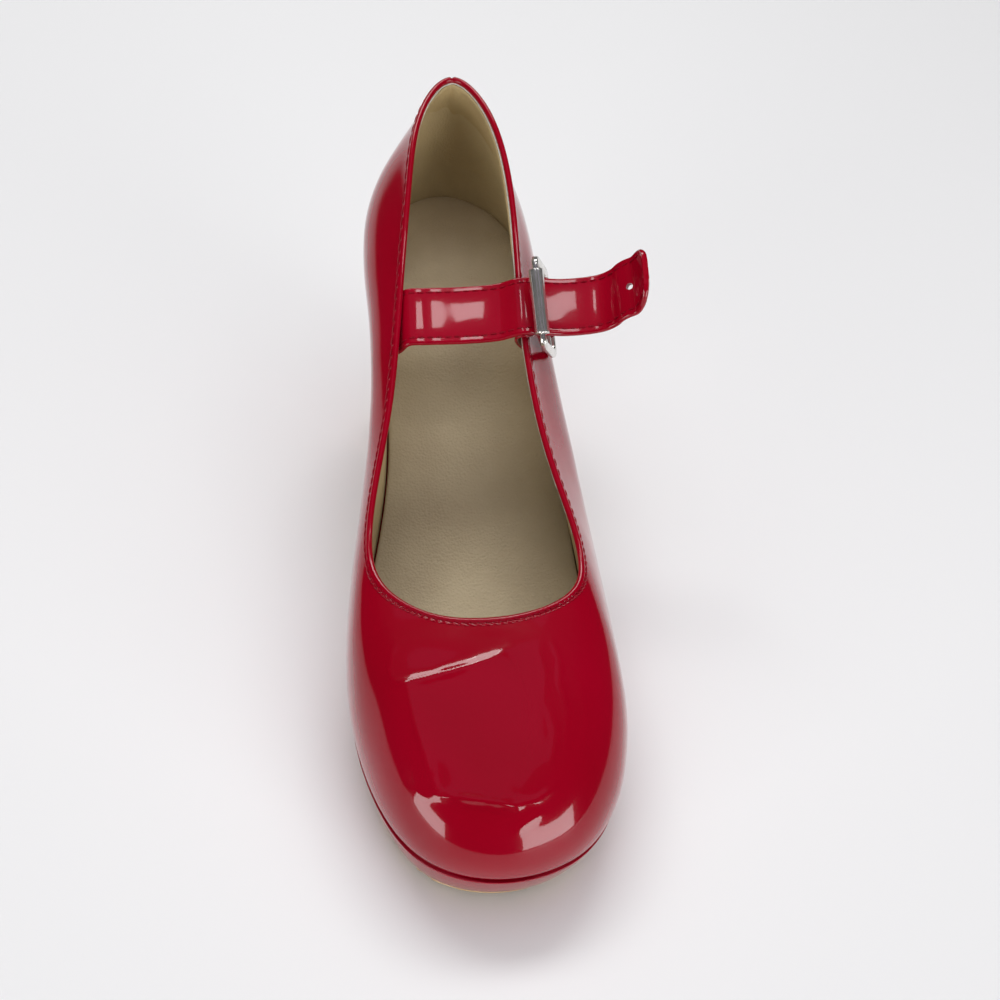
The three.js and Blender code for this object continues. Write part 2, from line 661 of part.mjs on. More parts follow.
function buckleFrame() {
  const inside = BUCKLE_WIDTH - 2 * BUCKLE_WIRE;
  const shape = roundedRectangle(BUCKLE_WIDTH, BUCKLE_LENGTH, BUCKLE_CORNER);
  const hole = roundedRectangle(inside, BUCKLE_LENGTH - 2 * BUCKLE_WIRE, BUCKLE_CORNER - BUCKLE_WIRE);
  shape.holes.push(hole);
  const bevel = BUCKLE_DEPTH * 0.3;
  const ring = new THREE.ExtrudeGeometry(shape, {
    depth: BUCKLE_DEPTH - 2 * bevel,
    bevelThickness: bevel,
    bevelSize: bevel,
    bevelOffset: -bevel,
    bevelSegments: 1,
    curveSegments: 5,
  });
  ring.translate(0, -BAR_SPACING, -BUCKLE_DEPTH / 2 + bevel);
  // the wire is necked down under the roller, so that the roller turns on it
  const neck = new THREE.BoxGeometry(ROLLER_LENGTH + 2 * GAP, BUCKLE_WIRE * 2, BUCKLE_DEPTH * 2);
  const axle = crossBar(BAR_DIAMETER, ROLLER_LENGTH + 2 * AXLE_OVERLAP, 0);
  const centre = crossBar(BAR_DIAMETER, inside + BUCKLE_WIRE, -BAR_SPACING);
  return toGeometry(
    toManifold(ring).subtract(toManifold(neck)).add(toManifold(axle)).add(toManifold(centre)),
  );
}

function roller() {
  const inner = BAR_DIAMETER / 2 + GAP;
  const outer = ROLLER_DIAMETER / 2;
  const half = ROLLER_LENGTH / 2;
  const shoulder = half - ROLLER_CHAMFER;
  const profile = [[inner, -half], [outer - ROLLER_CHAMFER, -half], [outer, -shoulder], [outer, shoulder],
    [outer - ROLLER_CHAMFER, half], [inner, half], [inner, -half]];
  const tube = new THREE.LatheGeometry(profile.map(([r, y]) => new THREE.Vector2(r, y)), 20);
  tube.rotateZ(Math.PI / 2);
  return tube;
}

// The tab: up the inside of the outer wall, over the rim, down to the centre bar and round it.
// It twists and steps aside on its way down, so that its loop lies along the bar, in its middle.
const TAB_LOOP = (BAR_DIAMETER + TAB_THICKNESS) / 2 + GAP + BEND_ROOM / 2;
const TAB_TWIST = [0.45, 0.66];
const arc = (x, rise, radius, from, to, steps) =>
  Array.from({ length: steps + 1 }, (_, i) => {
    const turn = lerp(from, to, i / steps);
    return [x + radius * Math.cos(turn), rise + radius * Math.sin(turn)];
  });

function tabProfile() {
  const clear = GAP + BEND_ROOM + TAB_THICKNESS / 2;
  const [barX, barRise] = inStrapPlane(BAR_IN_PLANE);
  // the straight part is a tangent of the bend over the rim and of the loop round the bar
  const slope = Math.atan2(barRise - RIM_RISE, barX - RIM_X);
  const cross = Math.asin((TAB_BEND + TAB_LOOP) / Math.hypot(barX - RIM_X, barRise - RIM_RISE));
  const heading = slope - cross;
  return [
    insideWall(OUTER_U, TAB_DEPTH, clear),
    insideWall(OUTER_U, TAB_DEPTH / 2, clear),
    ...arc(RIM_X, RIM_RISE, TAB_BEND, Math.PI * 0.9, heading + Math.PI / 2, 6),
    ...arc(barX, barRise, TAB_LOOP, heading - Math.PI / 2, heading + Math.PI * 0.7, 9),
  ];
}

function buckleTab() {
  const twist = (share) => smoothstep(share, ...TAB_TWIST);
  const body = toManifold(
    band({
      profile: tabProfile(),
      thickness: TAB_THICKNESS,
      halfWidth: () => TAB_WIDTH / 2,
      lift: STRAP_UP,
      fineness: 2,
      side: (share) => STRAP_ACROSS.clone().lerp(BAR_SIDE, twist(share)),
      shift: (share) => BAR_OFF_PLANE * twist(share),
    }),
  );
  const room = 4 * TAB_LOOP;
  const slot = new THREE.BoxGeometry(PRONG_DIAMETER + 2 * GAP, room, room);
  slot.translate(0, -BAR_SPACING, 0);
  slot.applyMatrix4(BUCKLE_PLACE);
  return toGeometry(body.subtract(toManifold(slot)));
}

function prong() {
  const r = PRONG_DIAMETER / 2;
  const ringRadius = BAR_DIAMETER / 2 + GAP + r;
  const eye = new THREE.TorusGeometry(ringRadius, r, 8, 16);
  eye.rotateY(Math.PI / 2);
  const length = PRONG_LENGTH - ringRadius;
  const pin = new THREE.CylinderGeometry(r * 0.8, r, length, 8);
  pin.translate(0, ringRadius + length / 2, 0);
  const whole = toGeometry(toManifold(eye).add(toManifold(pin)));
  whole.rotateX(PRONG_LEAN);
  whole.translate(0, -BAR_SPACING, 0);
  return whole;
}

const MATERIALS = {
  patent: new THREE.MeshStandardMaterial({ color: 0xb0001e, roughness: 0.12 }),
  sock: new THREE.MeshStandardMaterial({ color: 0x8f8467, roughness: 0.7 }),
  rubber: new THREE.MeshStandardMaterial({ color: 0xc9a777, roughness: 0.8 }),
  steel: new THREE.MeshStandardMaterial({ color: 0xc4c2bc, roughness: 0.25, metalness: 1 }),
};

const shoe = new THREE.Group();
function addPiece(name, geometry, material, matrix) {
  const mesh = new THREE.Mesh(geometry, material);
  mesh.name = name;
  if (matrix) mesh.applyMatrix4(matrix);
  shoe.add(mesh);
}

addPiece("upper", upper(), MATERIALS.patent);
addPiece("platform_sole", sole(), MATERIALS.patent);
addPiece("outsole", outsole(), MATERIALS.rubber);
addPiece("heel", heel(), MATERIALS.patent);
addPiece("top_lift", topLift(), MATERIALS.rubber);
addPiece("insole", insole(), MATERIALS.sock);
addPiece("strap", strap(), MATERIALS.patent);
addPiece("buckle_tab", buckleTab(), MATERIALS.patent);
addPiece("buckle_frame", buckleFrame(), MATERIALS.steel, BUCKLE_PLACE);
addPiece("buckle_roller", roller(), MATERIALS.steel, BUCKLE_PLACE);
addPiece("buckle_prong", prong(), MATERIALS.steel, BUCKLE_PLACE);

export default shoe;
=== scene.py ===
import math

import bmesh
import bpy
import numpy as np
from mathutils import Matrix, Vector


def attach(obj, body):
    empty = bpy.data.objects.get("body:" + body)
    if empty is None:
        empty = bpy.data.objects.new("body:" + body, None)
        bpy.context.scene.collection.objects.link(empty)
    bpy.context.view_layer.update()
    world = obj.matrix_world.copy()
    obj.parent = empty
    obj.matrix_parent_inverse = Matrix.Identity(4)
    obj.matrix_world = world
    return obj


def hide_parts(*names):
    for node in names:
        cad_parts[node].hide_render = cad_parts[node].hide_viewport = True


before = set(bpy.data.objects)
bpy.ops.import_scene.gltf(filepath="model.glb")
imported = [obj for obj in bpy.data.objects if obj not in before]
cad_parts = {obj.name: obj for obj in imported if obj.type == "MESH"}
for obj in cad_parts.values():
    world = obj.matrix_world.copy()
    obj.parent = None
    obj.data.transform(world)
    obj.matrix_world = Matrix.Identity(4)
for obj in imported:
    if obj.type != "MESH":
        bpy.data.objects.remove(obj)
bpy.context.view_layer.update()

# The scene dresses a left mary jane shoe. Sizes are in millimetres, as on a last maker's sheet,
# and become metres where a mesh is made. +Z is up, the toe points to -Y, the outer side to +X.
MM = 0.001

# Driving sizes of the last and of the opening
LAST_LENGTH = 242
BALL_WIDTH = 81
WAIST_WIDTH = 62
SEAT_WIDTH = 58
SEAT_HEIGHT = 82
BALL_HEIGHT = 14.8
TOE_SPRING = 4.2
OPENING_LENGTH = 179
OPENING_WIDTH = 61
COLLAR_HEIGHT = 52
QUARTER_HEIGHT = 40
VAMP_HEIGHT = 43

# Upper
WALL = 1.6
LEATHER = 0.95
FOLD_INSIDE = 1.5
BINDING_WIDTH = 2.8
BINDING_STEP = 0.4
STITCH_DEPTH = 2.1
STITCH_PITCH = 3.1
TUCKED = 1.9
BACK_SEAM = 0.3
PANEL_DENT = 0.45
COUNTER_THICKNESS = 0.5
COUNTER_TO_INNER = 62
COUNTER_TO_OUTER = 60
COUNTER_ABOVE_FOOT = 3.9

# Sole, outsole, heel and insole
SOLE_EDGE = 1
SOLE_INSET = 2.2
WAIST_THICKNESS = 5.5
OUTSOLE_THICKNESS = 3
OUTSOLE_INSET = 0.8
OUTSOLE_SHY = 0.5
WAIST_TO = 0.45
FLAT_FROM = 0.62
SPRING_FROM = 0.847
HEEL_LENGTH = 56
HEEL_INSET = 2
HEEL_TAPER_ALONG = 0.86
HEEL_TAPER_ACROSS = 0.84
TOP_LIFT_THICKNESS = 5
INSOLE_THICKNESS = 2.8

# Strap, buckle and the tab that holds the buckle
STRAP_WIDTH = 19.6
STRAP_THICKNESS = 1.8
STRAP_PLACE = 84
SEWN_DEPTH = 11
STRAP_SAG = 1.6
FREE_LENGTH = 36
HOLE_DIAMETER = 2.2
HOLE_PLACE = 0.8
HOLE_RISE = 0.255
HOLE_LEAN = 0.64
TIP_SHARE = 0.92
TIP_NARROWING = 0.6
STITCH_FROM_EDGE = 2
STRAP_STITCH_PITCH = 2.9
STITCHED_TO = 0.975
EDGE_DROP = 0.12
TAB_WIDTH = 18
TAB_THICKNESS = 1.2
TAB_DEPTH = 9
BUCKLE_LENGTH = 28
BUCKLE_WIDTH = 30.6
BUCKLE_WIRE = 3
BUCKLE_DEPTH = 2.2
BUCKLE_CORNER = 5
BUCKLE_YAW = 0.08
BUCKLE_LEAN = 0.36
BUCKLE_PITCH = 0.21
BAR_DIAMETER = 2
ROLLER_DIAMETER = 4.6
ROLLER_LENGTH = 20.8
ROLLER_PAST_TAB = 1
AXLE_PAST_ROLLER = 1.5
PRONG_DIAMETER = 1.6
PRONG_LEAN = 1.6
PRONG_LENGTH = 10

GAP = 0.3
BEND_ROOM = 0.8
HEEL_MIDDLE = HEEL_LENGTH / 2
RIM_RADIUS = (WALL + BINDING_STEP) / 2

# Bottom of the last: along as a share of LAST_LENGTH, pitch of the drop from seat to ball, toe of TOE_SPRING
BOTTOM = [
    (0, 1, 0),
    (0.103, 0.956, 0),
    (0.207, 0.842, 0),
    (0.331, 0.609, 0),
    (0.455, 0.33, 0),
    (0.558, 0.12, 0),
    (0.653, 0.018, 0),
    (0.736, 0, 0),
    (0.847, 0, 0.14),
    (0.95, 0, 0.6),
    (1.033, 0, 1.28),
]

# Sections round the upper, each a curve from the feather line up to the topline.
# across and the outs are shares of the row's width, rise, the ups and neck_down of the row's height,
# along of LAST_LENGTH, top_along of OPENING_LENGTH and top_across of OPENING_WIDTH.
SEAT = (SEAT_WIDTH, COLLAR_HEIGHT)
WAIST = (WAIST_WIDTH, QUARTER_HEIGHT)
BALL = (BALL_WIDTH, VAMP_HEIGHT)
SECTIONS = [
    # size, along, across, top_along, top_across, rise,
    # side_out, side_up, shoulder_out, shoulder_up, neck_out, neck_down
    (SEAT, 0, 0, 0.032, 0, 1.018, 0.067, 0.225, 0.04, 0.635, 0.017, 0.267),
    (SEAT, 0.048, 0.338, 0.107, 0.187, 0.967, 0.04, 0.212, 0.014, 0.575, -0.009, 0.26),
    (SEAT, 0.149, 0.493, 0.255, 0.282, 0.865, 0.019, 0.204, -0.012, 0.488, -0.028, 0.244),
    (WAIST, 0.303, 0.502, 0.43, 0.302, 1, 0.029, 0.268, 0.021, 0.585, 0.016, 0.28),
    (WAIST, 0.457, 0.59, 0.644, 0.349, 1.095, 0.053, 0.26, 0.061, 0.518, 0.063, 0.248),
    (BALL, 0.609, 0.498, 0.813, 0.462, 1.04, 0.051, 0.235, 0.036, 0.512, 0.067, 0.188),
    (BALL, 0.744, 0.501, 0.919, 0.467, 1.027, 0.058, 0.277, 0, 0.679, 0.086, 0.149),
    (BALL, 0.868, 0.467, 0.969, 0.344, 1.006, 0.055, 0.22, -0.01, 0.62, 0.22, 0.116),
    (BALL, 0.962, 0.304, 0.991, 0.172, 0.993, 0.05, 0.18, -0.03, 0.58, 0.37, 0.116),
    (BALL, 1, 0.001, 1, -0.038, 0.99, 0.05, 0.18, -0.05, 0.56, 0.446, 0.116),
    (BALL, 0.974, -0.26, 0.994, -0.226, 0.988, 0.05, 0.18, -0.03, 0.58, 0.369, 0.116),
    (BALL, 0.888, -0.42, 0.968, -0.398, 0.998, 0.058, 0.2, -0.01, 0.6, 0.215, 0.116),
    (BALL, 0.756, -0.489, 0.896, -0.548, 1.01, 0.065, 0.272, 0.009, 0.693, 0.096, 0.142),
    (BALL, 0.612, -0.447, 0.763, -0.531, 0.99, 0.049, 0.228, 0.033, 0.505, 0.07, 0.188),
    (WAIST, 0.439, -0.435, 0.594, -0.413, 1.01, 0.058, 0.3, 0.097, 0.593, 0.153, 0.253),
    (WAIST, 0.288, -0.435, 0.422, -0.341, 1.007, 0.045, 0.305, 0.106, 0.65, 0.145, 0.275),
    (SEAT, 0.149, -0.493, 0.255, -0.28, 0.865, 0.05, 0.244, 0.097, 0.542, 0.1, 0.231),
    (SEAT, 0.048, -0.338, 0.107, -0.188, 0.965, 0.062, 0.235, 0.066, 0.596, 0.062, 0.25),
]


def natural_spline(xs, ys):
    """A natural cubic spline through the points, evaluated on arrays."""
    xs = np.asarray(xs, float)
    ys = np.asarray(ys, float)
    h = np.diff(xs)
    system = np.eye(len(xs))
    turn = np.zeros_like(ys)
    for i in range(1, len(xs) - 1):
        system[i, i - 1 : i + 2] = h[i - 1], 2 * (h[i - 1] + h[i]), h[i]
        turn[i] = 6 * ((ys[i + 1] - ys[i]) / h[i] - (ys[i] - ys[i - 1]) / h[i - 1])
    bend = np.linalg.solve(system, turn)

    def value(x):
        x = np.asarray(x, float)
        i = np.clip(np.searchsorted(xs, x, side="right") - 1, 0, len(xs) - 2)
        b = (x - xs[i]) / h[i]
        step = h[i]
        if ys.ndim > 1:
            b = b[..., None]
            step = step[..., None]
        a = 1 - b
        sag = ((a**3 - a) * bend[i] + (b**3 - b) * bend[i + 1]) * step**2 / 6
        return a * ys[i] + b * ys[i + 1] + sag

    return value


def lerp(a, b, t):
    return a + (b - a) * t


def unit(vectors):
    return vectors / np.linalg.norm(vectors, axis=-1, keepdims=True)


def full_turn(sides):
    return np.arange(sides) * 2 * np.pi / sides


def smoothstep(x, low, high):
    t = np.clip((x - low) / (high - low), 0, 1)
    return t * t * (3 - 2 * t)


last_bottom = natural_spline(
    [along * LAST_LENGTH for along, _, _ in BOTTOM],
    [lerp(BALL_HEIGHT, SEAT_HEIGHT, pitch) + toe * TOE_SPRING for _, pitch, toe in BOTTOM],
)


def section_sizes(row):
    (width, height), along, across, top_along, top_across, rise, *shape = row
    outs = [share * width for share in shape[0::2]]
    ups = [share * height for share in shape[1::2]]
    return [along * LAST_LENGTH, across * width, top_along * OPENING_LENGTH, top_across * OPENING_WIDTH,
            rise * height, outs[0], ups[0], outs[1], ups[1], outs[2], ups[2]]


def make_section_spline():
    """The sections run once round the shoe, so the table is wrapped past both ends."""
    wrap = 6
    rows = np.array([section_sizes(row) for row in SECTIONS])
    count = len(rows)
    steps = np.linalg.norm(np.roll(rows[:, :2], -1, 0) - rows[:, :2], axis=1)
    knots = np.concatenate([[0], np.cumsum(steps)]) / steps.sum()
    index = np.arange(-wrap, count + wrap + 1)
    turns = index // count
    return natural_spline(knots[index - turns * count] + turns, rows[index - turns * count])


section_spline = make_section_spline()


def section_at(u):
    u = np.asarray(u, float)
    return section_spline(u - np.floor(u))


def feather_at(u):
    """Along, across and the outward direction (along, across) of the feather line."""
    step = 1e-4
    here = section_at(u)
    run = unit((section_at(np.asarray(u) + step) - section_at(np.asarray(u) - step))[..., :2])
    return here[..., 0], here[..., 1], np.stack([-run[..., 1], run[..., 0]], -1)


def outline_at(u, offset):
    along, across, out = feather_at(u)
    return np.stack([along + out[..., 0] * offset, across + out[..., 1] * offset], -1)


def place(along, across, height):
    along, across, height = np.broadcast_arrays(along, across, height)
    return np.stack([across, HEEL_MIDDLE - along, height], -1)


def section_curve(u):
    """The five control points of the upper's section curve, for an array of u."""
    row = section_at(u)
    along, across, top_along, top_across, rise = [row[..., i] for i in range(5)]
    side_out, side_up, shoulder_out, shoulder_up, neck_out, neck_down = [row[..., i] for i in range(5, 11)]
    out = feather_at(u)[2]
    outward = np.stack([out[..., 1], -out[..., 0], 0 * side_out], -1)
    foot = place(along, across, last_bottom(along) + GAP)
    top = place(top_along, top_across, last_bottom(top_along) + rise)

    def off(base, o, h):
        moved = base + outward * o[..., None]
        moved[..., 2] += h
        return moved

    return np.stack([foot, off(foot, side_out, side_up), off(foot, shoulder_out, shoulder_up),
                     off(top, neck_out, -neck_down), top], -2)


def skin(u, v):
    points = section_curve(u)
    v = np.asarray(v, float)
    w = 1 - v
    weights = np.stack([w**4, 4 * w**3 * v, 6 * w * w * v * v, 4 * w * v**3, v**4], -1)
    return (points * weights[..., None]).sum(-2)


def skin_normal(u, v):
    step = 1e-3
    low = np.maximum(v - step, 0)
    high = np.minimum(v + step, 1)
    up = skin(u, high) - skin(u, low)
    onward = skin(u + step, v) - skin(u - step, v)
    return unit(np.cross(up, onward))


def v_below_top(u, distance):
    """v at each distance below the topline: u has n values, distance is n by m."""
    fine = np.linspace(0, 1, 121)
    points = section_curve(u)
    w = 1 - fine
    weights = np.stack([w**4, 4 * w**3 * fine, 6 * w * w * fine * fine, 4 * w * fine**3, fine**4], -1)
    curve = np.einsum("fk,nkc->nfc", weights, points)
    steps = np.linalg.norm(np.diff(curve, axis=1), axis=2)
    below = np.concatenate([np.cumsum(steps[:, ::-1], axis=1)[:, ::-1], np.zeros((len(points), 1))], axis=1)
    rows = [np.interp(distance[i], below[i, ::-1], fine[::-1]) for i in range(len(points))]
    return np.array(rows), below[:, 0]


def wall_length(u):
    """Length of the wall from the topline to the feather line, as a column."""
    return v_below_top(u, np.zeros((len(u), 1)))[1][:, None]


def find_u(outer, measure, value):
    """u on one side of the shoe where a measure that grows towards the toe reaches a value."""
    value = np.asarray(value, float)
    a = np.full(value.shape, 0.0 if outer else 1.0)
    b = np.full(value.shape, TIP)
    for _ in range(40):
        m = (a + b) / 2
        less = measure(m) < value
        a = np.where(less, m, a)
        b = np.where(less, b, m)
    return (a + b) / 2


TRIES = np.arange(2000) / 2000
TIP = float(TRIES[np.argmax(feather_at(TRIES)[0])])
TOE = float(feather_at(np.array(TIP))[0])


def feather_along(u):
    return feather_at(u)[0]


def top_along(u):
    return HEEL_MIDDLE - skin(u, np.ones_like(u))[..., 1]


# Meshes. Points nearer than a weld distance, in mm, are joined.
WELD = 0.02
BAND_WELD = 0.004
FINE_WELD = 0.001
SHARP = math.radians(50)


def make_piece(name, vertices, faces, materials, face_material=None):
    mesh = bpy.data.meshes.new(name)
    mesh.from_pydata((np.asarray(vertices) * MM).tolist(), [], faces)
    for material in materials:
        mesh.materials.append(material)
    if face_material is not None:
        mesh.polygons.foreach_set("material_index", np.asarray(face_material, dtype=np.int32))
    mesh.shade_smooth()
    mesh.validate()
    mesh.update()
    piece = bpy.data.objects.new(name, mesh)
    bpy.context.scene.collection.objects.link(piece)
    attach(piece, "root")
    return piece


def grid_faces(rows, columns, wrap_rows=False, wrap_columns=True, start=0, flip=False):
    """Quads of a grid of rows by columns of vertices."""
    r = np.arange(rows if wrap_rows else rows - 1)
    c = np.arange(columns if wrap_columns else columns - 1)
    r, c = np.meshgrid(r, c, indexing="ij")
    r2 = (r + 1) % rows
    c2 = (c + 1) % columns
    corners = [r * columns + c, r2 * columns + c, r2 * columns + c2, r * columns + c2]
    quads = np.stack(corners, -1).reshape(-1, 4)
    if flip:
        quads = quads[:, ::-1]
    return (quads + start).tolist()


def closed_piece(name, grid, materials, row_material=None, flip=False):
    """A piece from a grid of points that joins up both ways, with one material to a row."""
    rows, columns = grid.shape[:2]
    faces = grid_faces(rows, columns, wrap_rows=True, flip=flip)
    face_material = None if row_material is None else np.repeat(row_material, columns)
    return make_piece(name, grid.reshape(-1, 3), faces, materials, face_material)


def end_caps(first, last, sides):
    """Faces that close the first and the last ring of a tube."""
    return [list(range(first + sides - 1, first - 1, -1)), list(range(last, last + sides))]


def plate_piece(name, levels, steps, materials):
    """A solid between levels, top first, each with its outer side, its inner side and its height."""
    vertices = []
    faces = []
    share = np.linspace(0, 1, steps + 1)[None, :, None]
    grids = []
    for outer, inner, height in levels:
        flat = lerp(outer[:, None, :], inner[:, None, :], share)
        grids.append(place(flat[..., 0], flat[..., 1], height(flat[..., 0])))
    count = len(grids[0])

    def cap(grid, flip):
        start = sum(len(part) for part in vertices)
        vertices.append(grid.reshape(-1, 3))
        faces.extend(grid_faces(count, steps + 1, False, False, start, flip))

    cap(grids[0], False)
    cap(grids[-1], True)
    rims = []
    for grid in grids:
        rims.append(np.concatenate([grid[:, 0], grid[-1, 1:-1], grid[::-1, -1], grid[0, 1:-1][::-1]]))
    rims = np.array(rims)
    start = sum(len(part) for part in vertices)
    vertices.append(rims.reshape(-1, 3))
    faces.extend(grid_faces(len(rims), rims.shape[1], start=start))
    piece = make_piece(name, np.concatenate(vertices), faces, materials)
    weld(piece)
    return piece


def weld(piece, distance=WELD):
    """Joins points nearer than a distance and turns the faces outward."""
    bm = bmesh.new()
    bm.from_mesh(piece.data)
    bmesh.ops.remove_doubles(bm, verts=bm.verts, dist=distance * MM)
    bmesh.ops.dissolve_degenerate(bm, edges=bm.edges, dist=distance * MM * 0.5)
    bmesh.ops.recalc_face_normals(bm, faces=bm.faces)
    bm.to_mesh(piece.data)
    bm.free()
    piece.data.shade_smooth()


# Materials. Scales of noise and grain are counts to the metre, depths of bumps are metres.


def new_material(name):
    material = bpy.data.materials.new(name)
    material.use_nodes = True
    tree = material.node_tree
    shader = tree.nodes["Principled BSDF"]
    where = tree.nodes.new("ShaderNodeTexCoord")
    return material, tree, shader, where.outputs["Object"]


def noise(tree, where, scale, detail):
    node = tree.nodes.new("ShaderNodeTexNoise")
    node.inputs["Scale"].default_value = scale
    node.inputs["Detail"].default_value = detail
    tree.links.new(where, node.inputs["Vector"])
    return node.outputs["Fac"]


def ramp(tree, value, stops):
    node = tree.nodes.new("ShaderNodeValToRGB")
    elements = node.color_ramp.elements
    while len(elements) < len(stops):
        elements.new(0.5)
    for element, (position, colour) in zip(elements, stops):
        element.position = position
        element.color = (*colour, 1)
    tree.links.new(value, node.inputs["Fac"])
    return node.outputs["Color"]


def bump(tree, height, strength, distance, normal=None):
    node = tree.nodes.new("ShaderNodeBump")
    node.inputs["Strength"].default_value = strength
    node.inputs["Distance"].default_value = distance
    tree.links.new(height, node.inputs["Height"])
    if normal is not None:
        tree.links.new(normal, node.inputs["Normal"])
    return node.outputs["Normal"]


def patent_leather(name, dark, light, roughness=0.16):
    """Lacquered leather: a tinted base under a clear coat, with a slow waviness and a faint orange peel."""
    material, tree, shader, where = new_material(name)
    colour = ramp(tree, noise(tree, where, 22.0, 2.0), [(0.3, dark), (0.75, light)])
    tree.links.new(colour, shader.inputs["Base Color"])
    shader.inputs["Roughness"].default_value = roughness
    shader.inputs["Specular IOR Level"].default_value = 0.1
    shader.inputs["Coat Weight"].default_value = 0.7
    shader.inputs["Coat IOR"].default_value = 1.48
    shader.inputs["Coat Roughness"].default_value = 0.045
    slow = bump(tree, noise(tree, where, 45.0, 1.0), 0.10, 0.004)
    fine = bump(tree, noise(tree, where, 900.0, 2.0), 0.04, 0.0004, slow)
    tree.links.new(fine, shader.inputs["Normal"])
    tree.links.new(slow, shader.inputs["Coat Normal"])
    return material


def grained(name, dark, light, grain, depth, roughness, spots=30.0, shine=0.4):
    """Cloth, thread, board or plain leather: slow spots of colour under a fine grain."""
    material, tree, shader, where = new_material(name)
    colour = ramp(tree, noise(tree, where, spots, 4.0), [(0.35, dark), (0.7, light)])
    tree.links.new(colour, shader.inputs["Base Color"])
    shader.inputs["Roughness"].default_value = roughness
    shader.inputs["Specular IOR Level"].default_value = shine
    cells = tree.nodes.new("ShaderNodeTexVoronoi")
    cells.inputs["Scale"].default_value = grain
    tree.links.new(where, cells.inputs["Vector"])
    coarse = bump(tree, cells.outputs["Distance"], 0.5, depth)
    fine = bump(tree, noise(tree, where, grain * 1.7, 2.0), 0.4, depth, coarse)
    tree.links.new(fine, shader.inputs["Normal"])
    return material


def polished_steel():
    material, tree, shader, where = new_material("polished_steel")
    dark, light = (0.70, 0.68, 0.64), (0.86, 0.84, 0.81)
    colour = ramp(tree, noise(tree, where, 160.0, 3.0), [(0.3, dark), (0.7, light)])
    tree.links.new(colour, shader.inputs["Base Color"])
    shader.inputs["Metallic"].default_value = 0.88
    wear = tree.nodes.new("ShaderNodeMapRange")
    wear.inputs["To Min"].default_value = 0.12
    wear.inputs["To Max"].default_value = 0.3
    tree.links.new(noise(tree, where, 420.0, 4.0), wear.inputs["Value"])
    tree.links.new(wear.outputs["Result"], shader.inputs["Roughness"])
    tree.links.new(bump(tree, noise(tree, where, 1400.0, 2.0), 0.08, 0.0003), shader.inputs["Normal"])
    return material


PATENT = patent_leather("red_patent", (0.265, 0.0, 0.008), (0.305, 0.0, 0.012))
SOLE_PATENT = patent_leather("red_patent_sole", (0.27, 0.0, 0.010), (0.31, 0.001, 0.015), 0.24)
LINING = grained("lining_cloth", (0.405, 0.31, 0.155), (0.49, 0.38, 0.20), 1500.0, 0.00025, 0.85)
HEEL_LINING = grained("heel_lining", (0.41, 0.305, 0.145), (0.495, 0.375, 0.185), 1300.0, 0.0003, 0.9)
RAW_EDGE = grained("raw_edge", (0.70, 0.66, 0.56), (0.85, 0.82, 0.74), 2200.0, 0.0006, 0.95, 300.0)
SOCK = grained("sock_leather", (0.40, 0.32, 0.20), (0.49, 0.405, 0.26), 1100.0, 0.0003, 0.62)
TAN = grained("tan_sole", (0.50, 0.34, 0.17), (0.68, 0.50, 0.29), 900.0, 0.0005, 0.8, 120.0)
MAUVE = grained("strap_back", (0.40, 0.20, 0.20), (0.50, 0.28, 0.27), 1600.0, 0.0004, 0.9, 200.0)
THREAD = grained("red_thread", (0.20, 0.0, 0.006), (0.30, 0.002, 0.016), 2600.0, 0.0003, 0.5, 400.0, 0.1)
STEEL = polished_steel()


# Upper

# Points round the upper, and up its face and its back
COLUMNS = 560
BODY_ROWS = 150
BACK_ROWS = 12

# The sunk panel between the folds, where it starts, is whole, ends being whole and ends
PANEL_ALONG = (191, 203, 221, 230)
PANEL_ACROSS = (-26, -17, 0, 8)

# Creases of the vamp: points (along, across), height and half width. A negative height
# is a trough.
CREASES = [
    ([(197.4, -26.5), (196.8, -20), (195.6, -13), (194.2, -7), (192.4, -1.5), (189.8, 3)], 0.54, 1.6),
    ([(197.6, -29.5), (197.4, -26.5), (196.8, -20), (195.6, -13), (194.2, -7)], 0.34, 1.5),
    ([(197.4, -26.5), (196, -29.5), (191, -31.5)], 0.30, 1.2),
    ([(190, 3), (194.9, 6.1), (201.4, 7.3), (208, 7.9), (214, 6.9), (220.5, 5), (230.3, 1)], -0.22, 1.0),
    ([(197.2, -26.3), (208.1, -24.4), (215.8, -22.5), (222.7, -20.8), (226.8, -19.2)], 0.4, 0.9),
    ([(226.6, -19.2), (228.0, -14), (229.2, -8), (230.2, -2), (230.8, 2.6)], 1.25, 1.3),
    ([(226.6, -19.2), (226.2, -23), (223.5, -26)], 0.26, 0.9),
    ([(230.6, 2.3), (229.5, 8), (226.5, 13)], 0.4, 1.0),
    ([(186.5, 16.8), (192, 18.3), (199, 17.4), (207.1, 18.4), (216.6, 17)], 0.18, 0.9),
    ([(190.5, 12.5), (197, 13.4), (204, 12.2)], 0.16, 0.9),
    ([(206, 13.5), (213, 14.6), (221, 12.4)], 0.17, 0.9),
    ([(199, 23.5), (208, 24.2), (217, 22.4)], 0.12, 1.1),
    ([(236.3, 1.2), (234.4, 4.6), (232.4, 8.4)], 0.45, 0.8),
    ([(184.5, -28.5), (188.5, -30), (193, -30.5)], 0.20, 1.1),
    ([(183.5, -8), (185.0, -2), (184.6, 5)], -0.06, 1.6),
]


def inside(x, start, full, full_end, end):
    """1 inside a range, eased to 0 outside it."""
    return smoothstep(x, start, full) * smoothstep(-x, -end, -full_end)


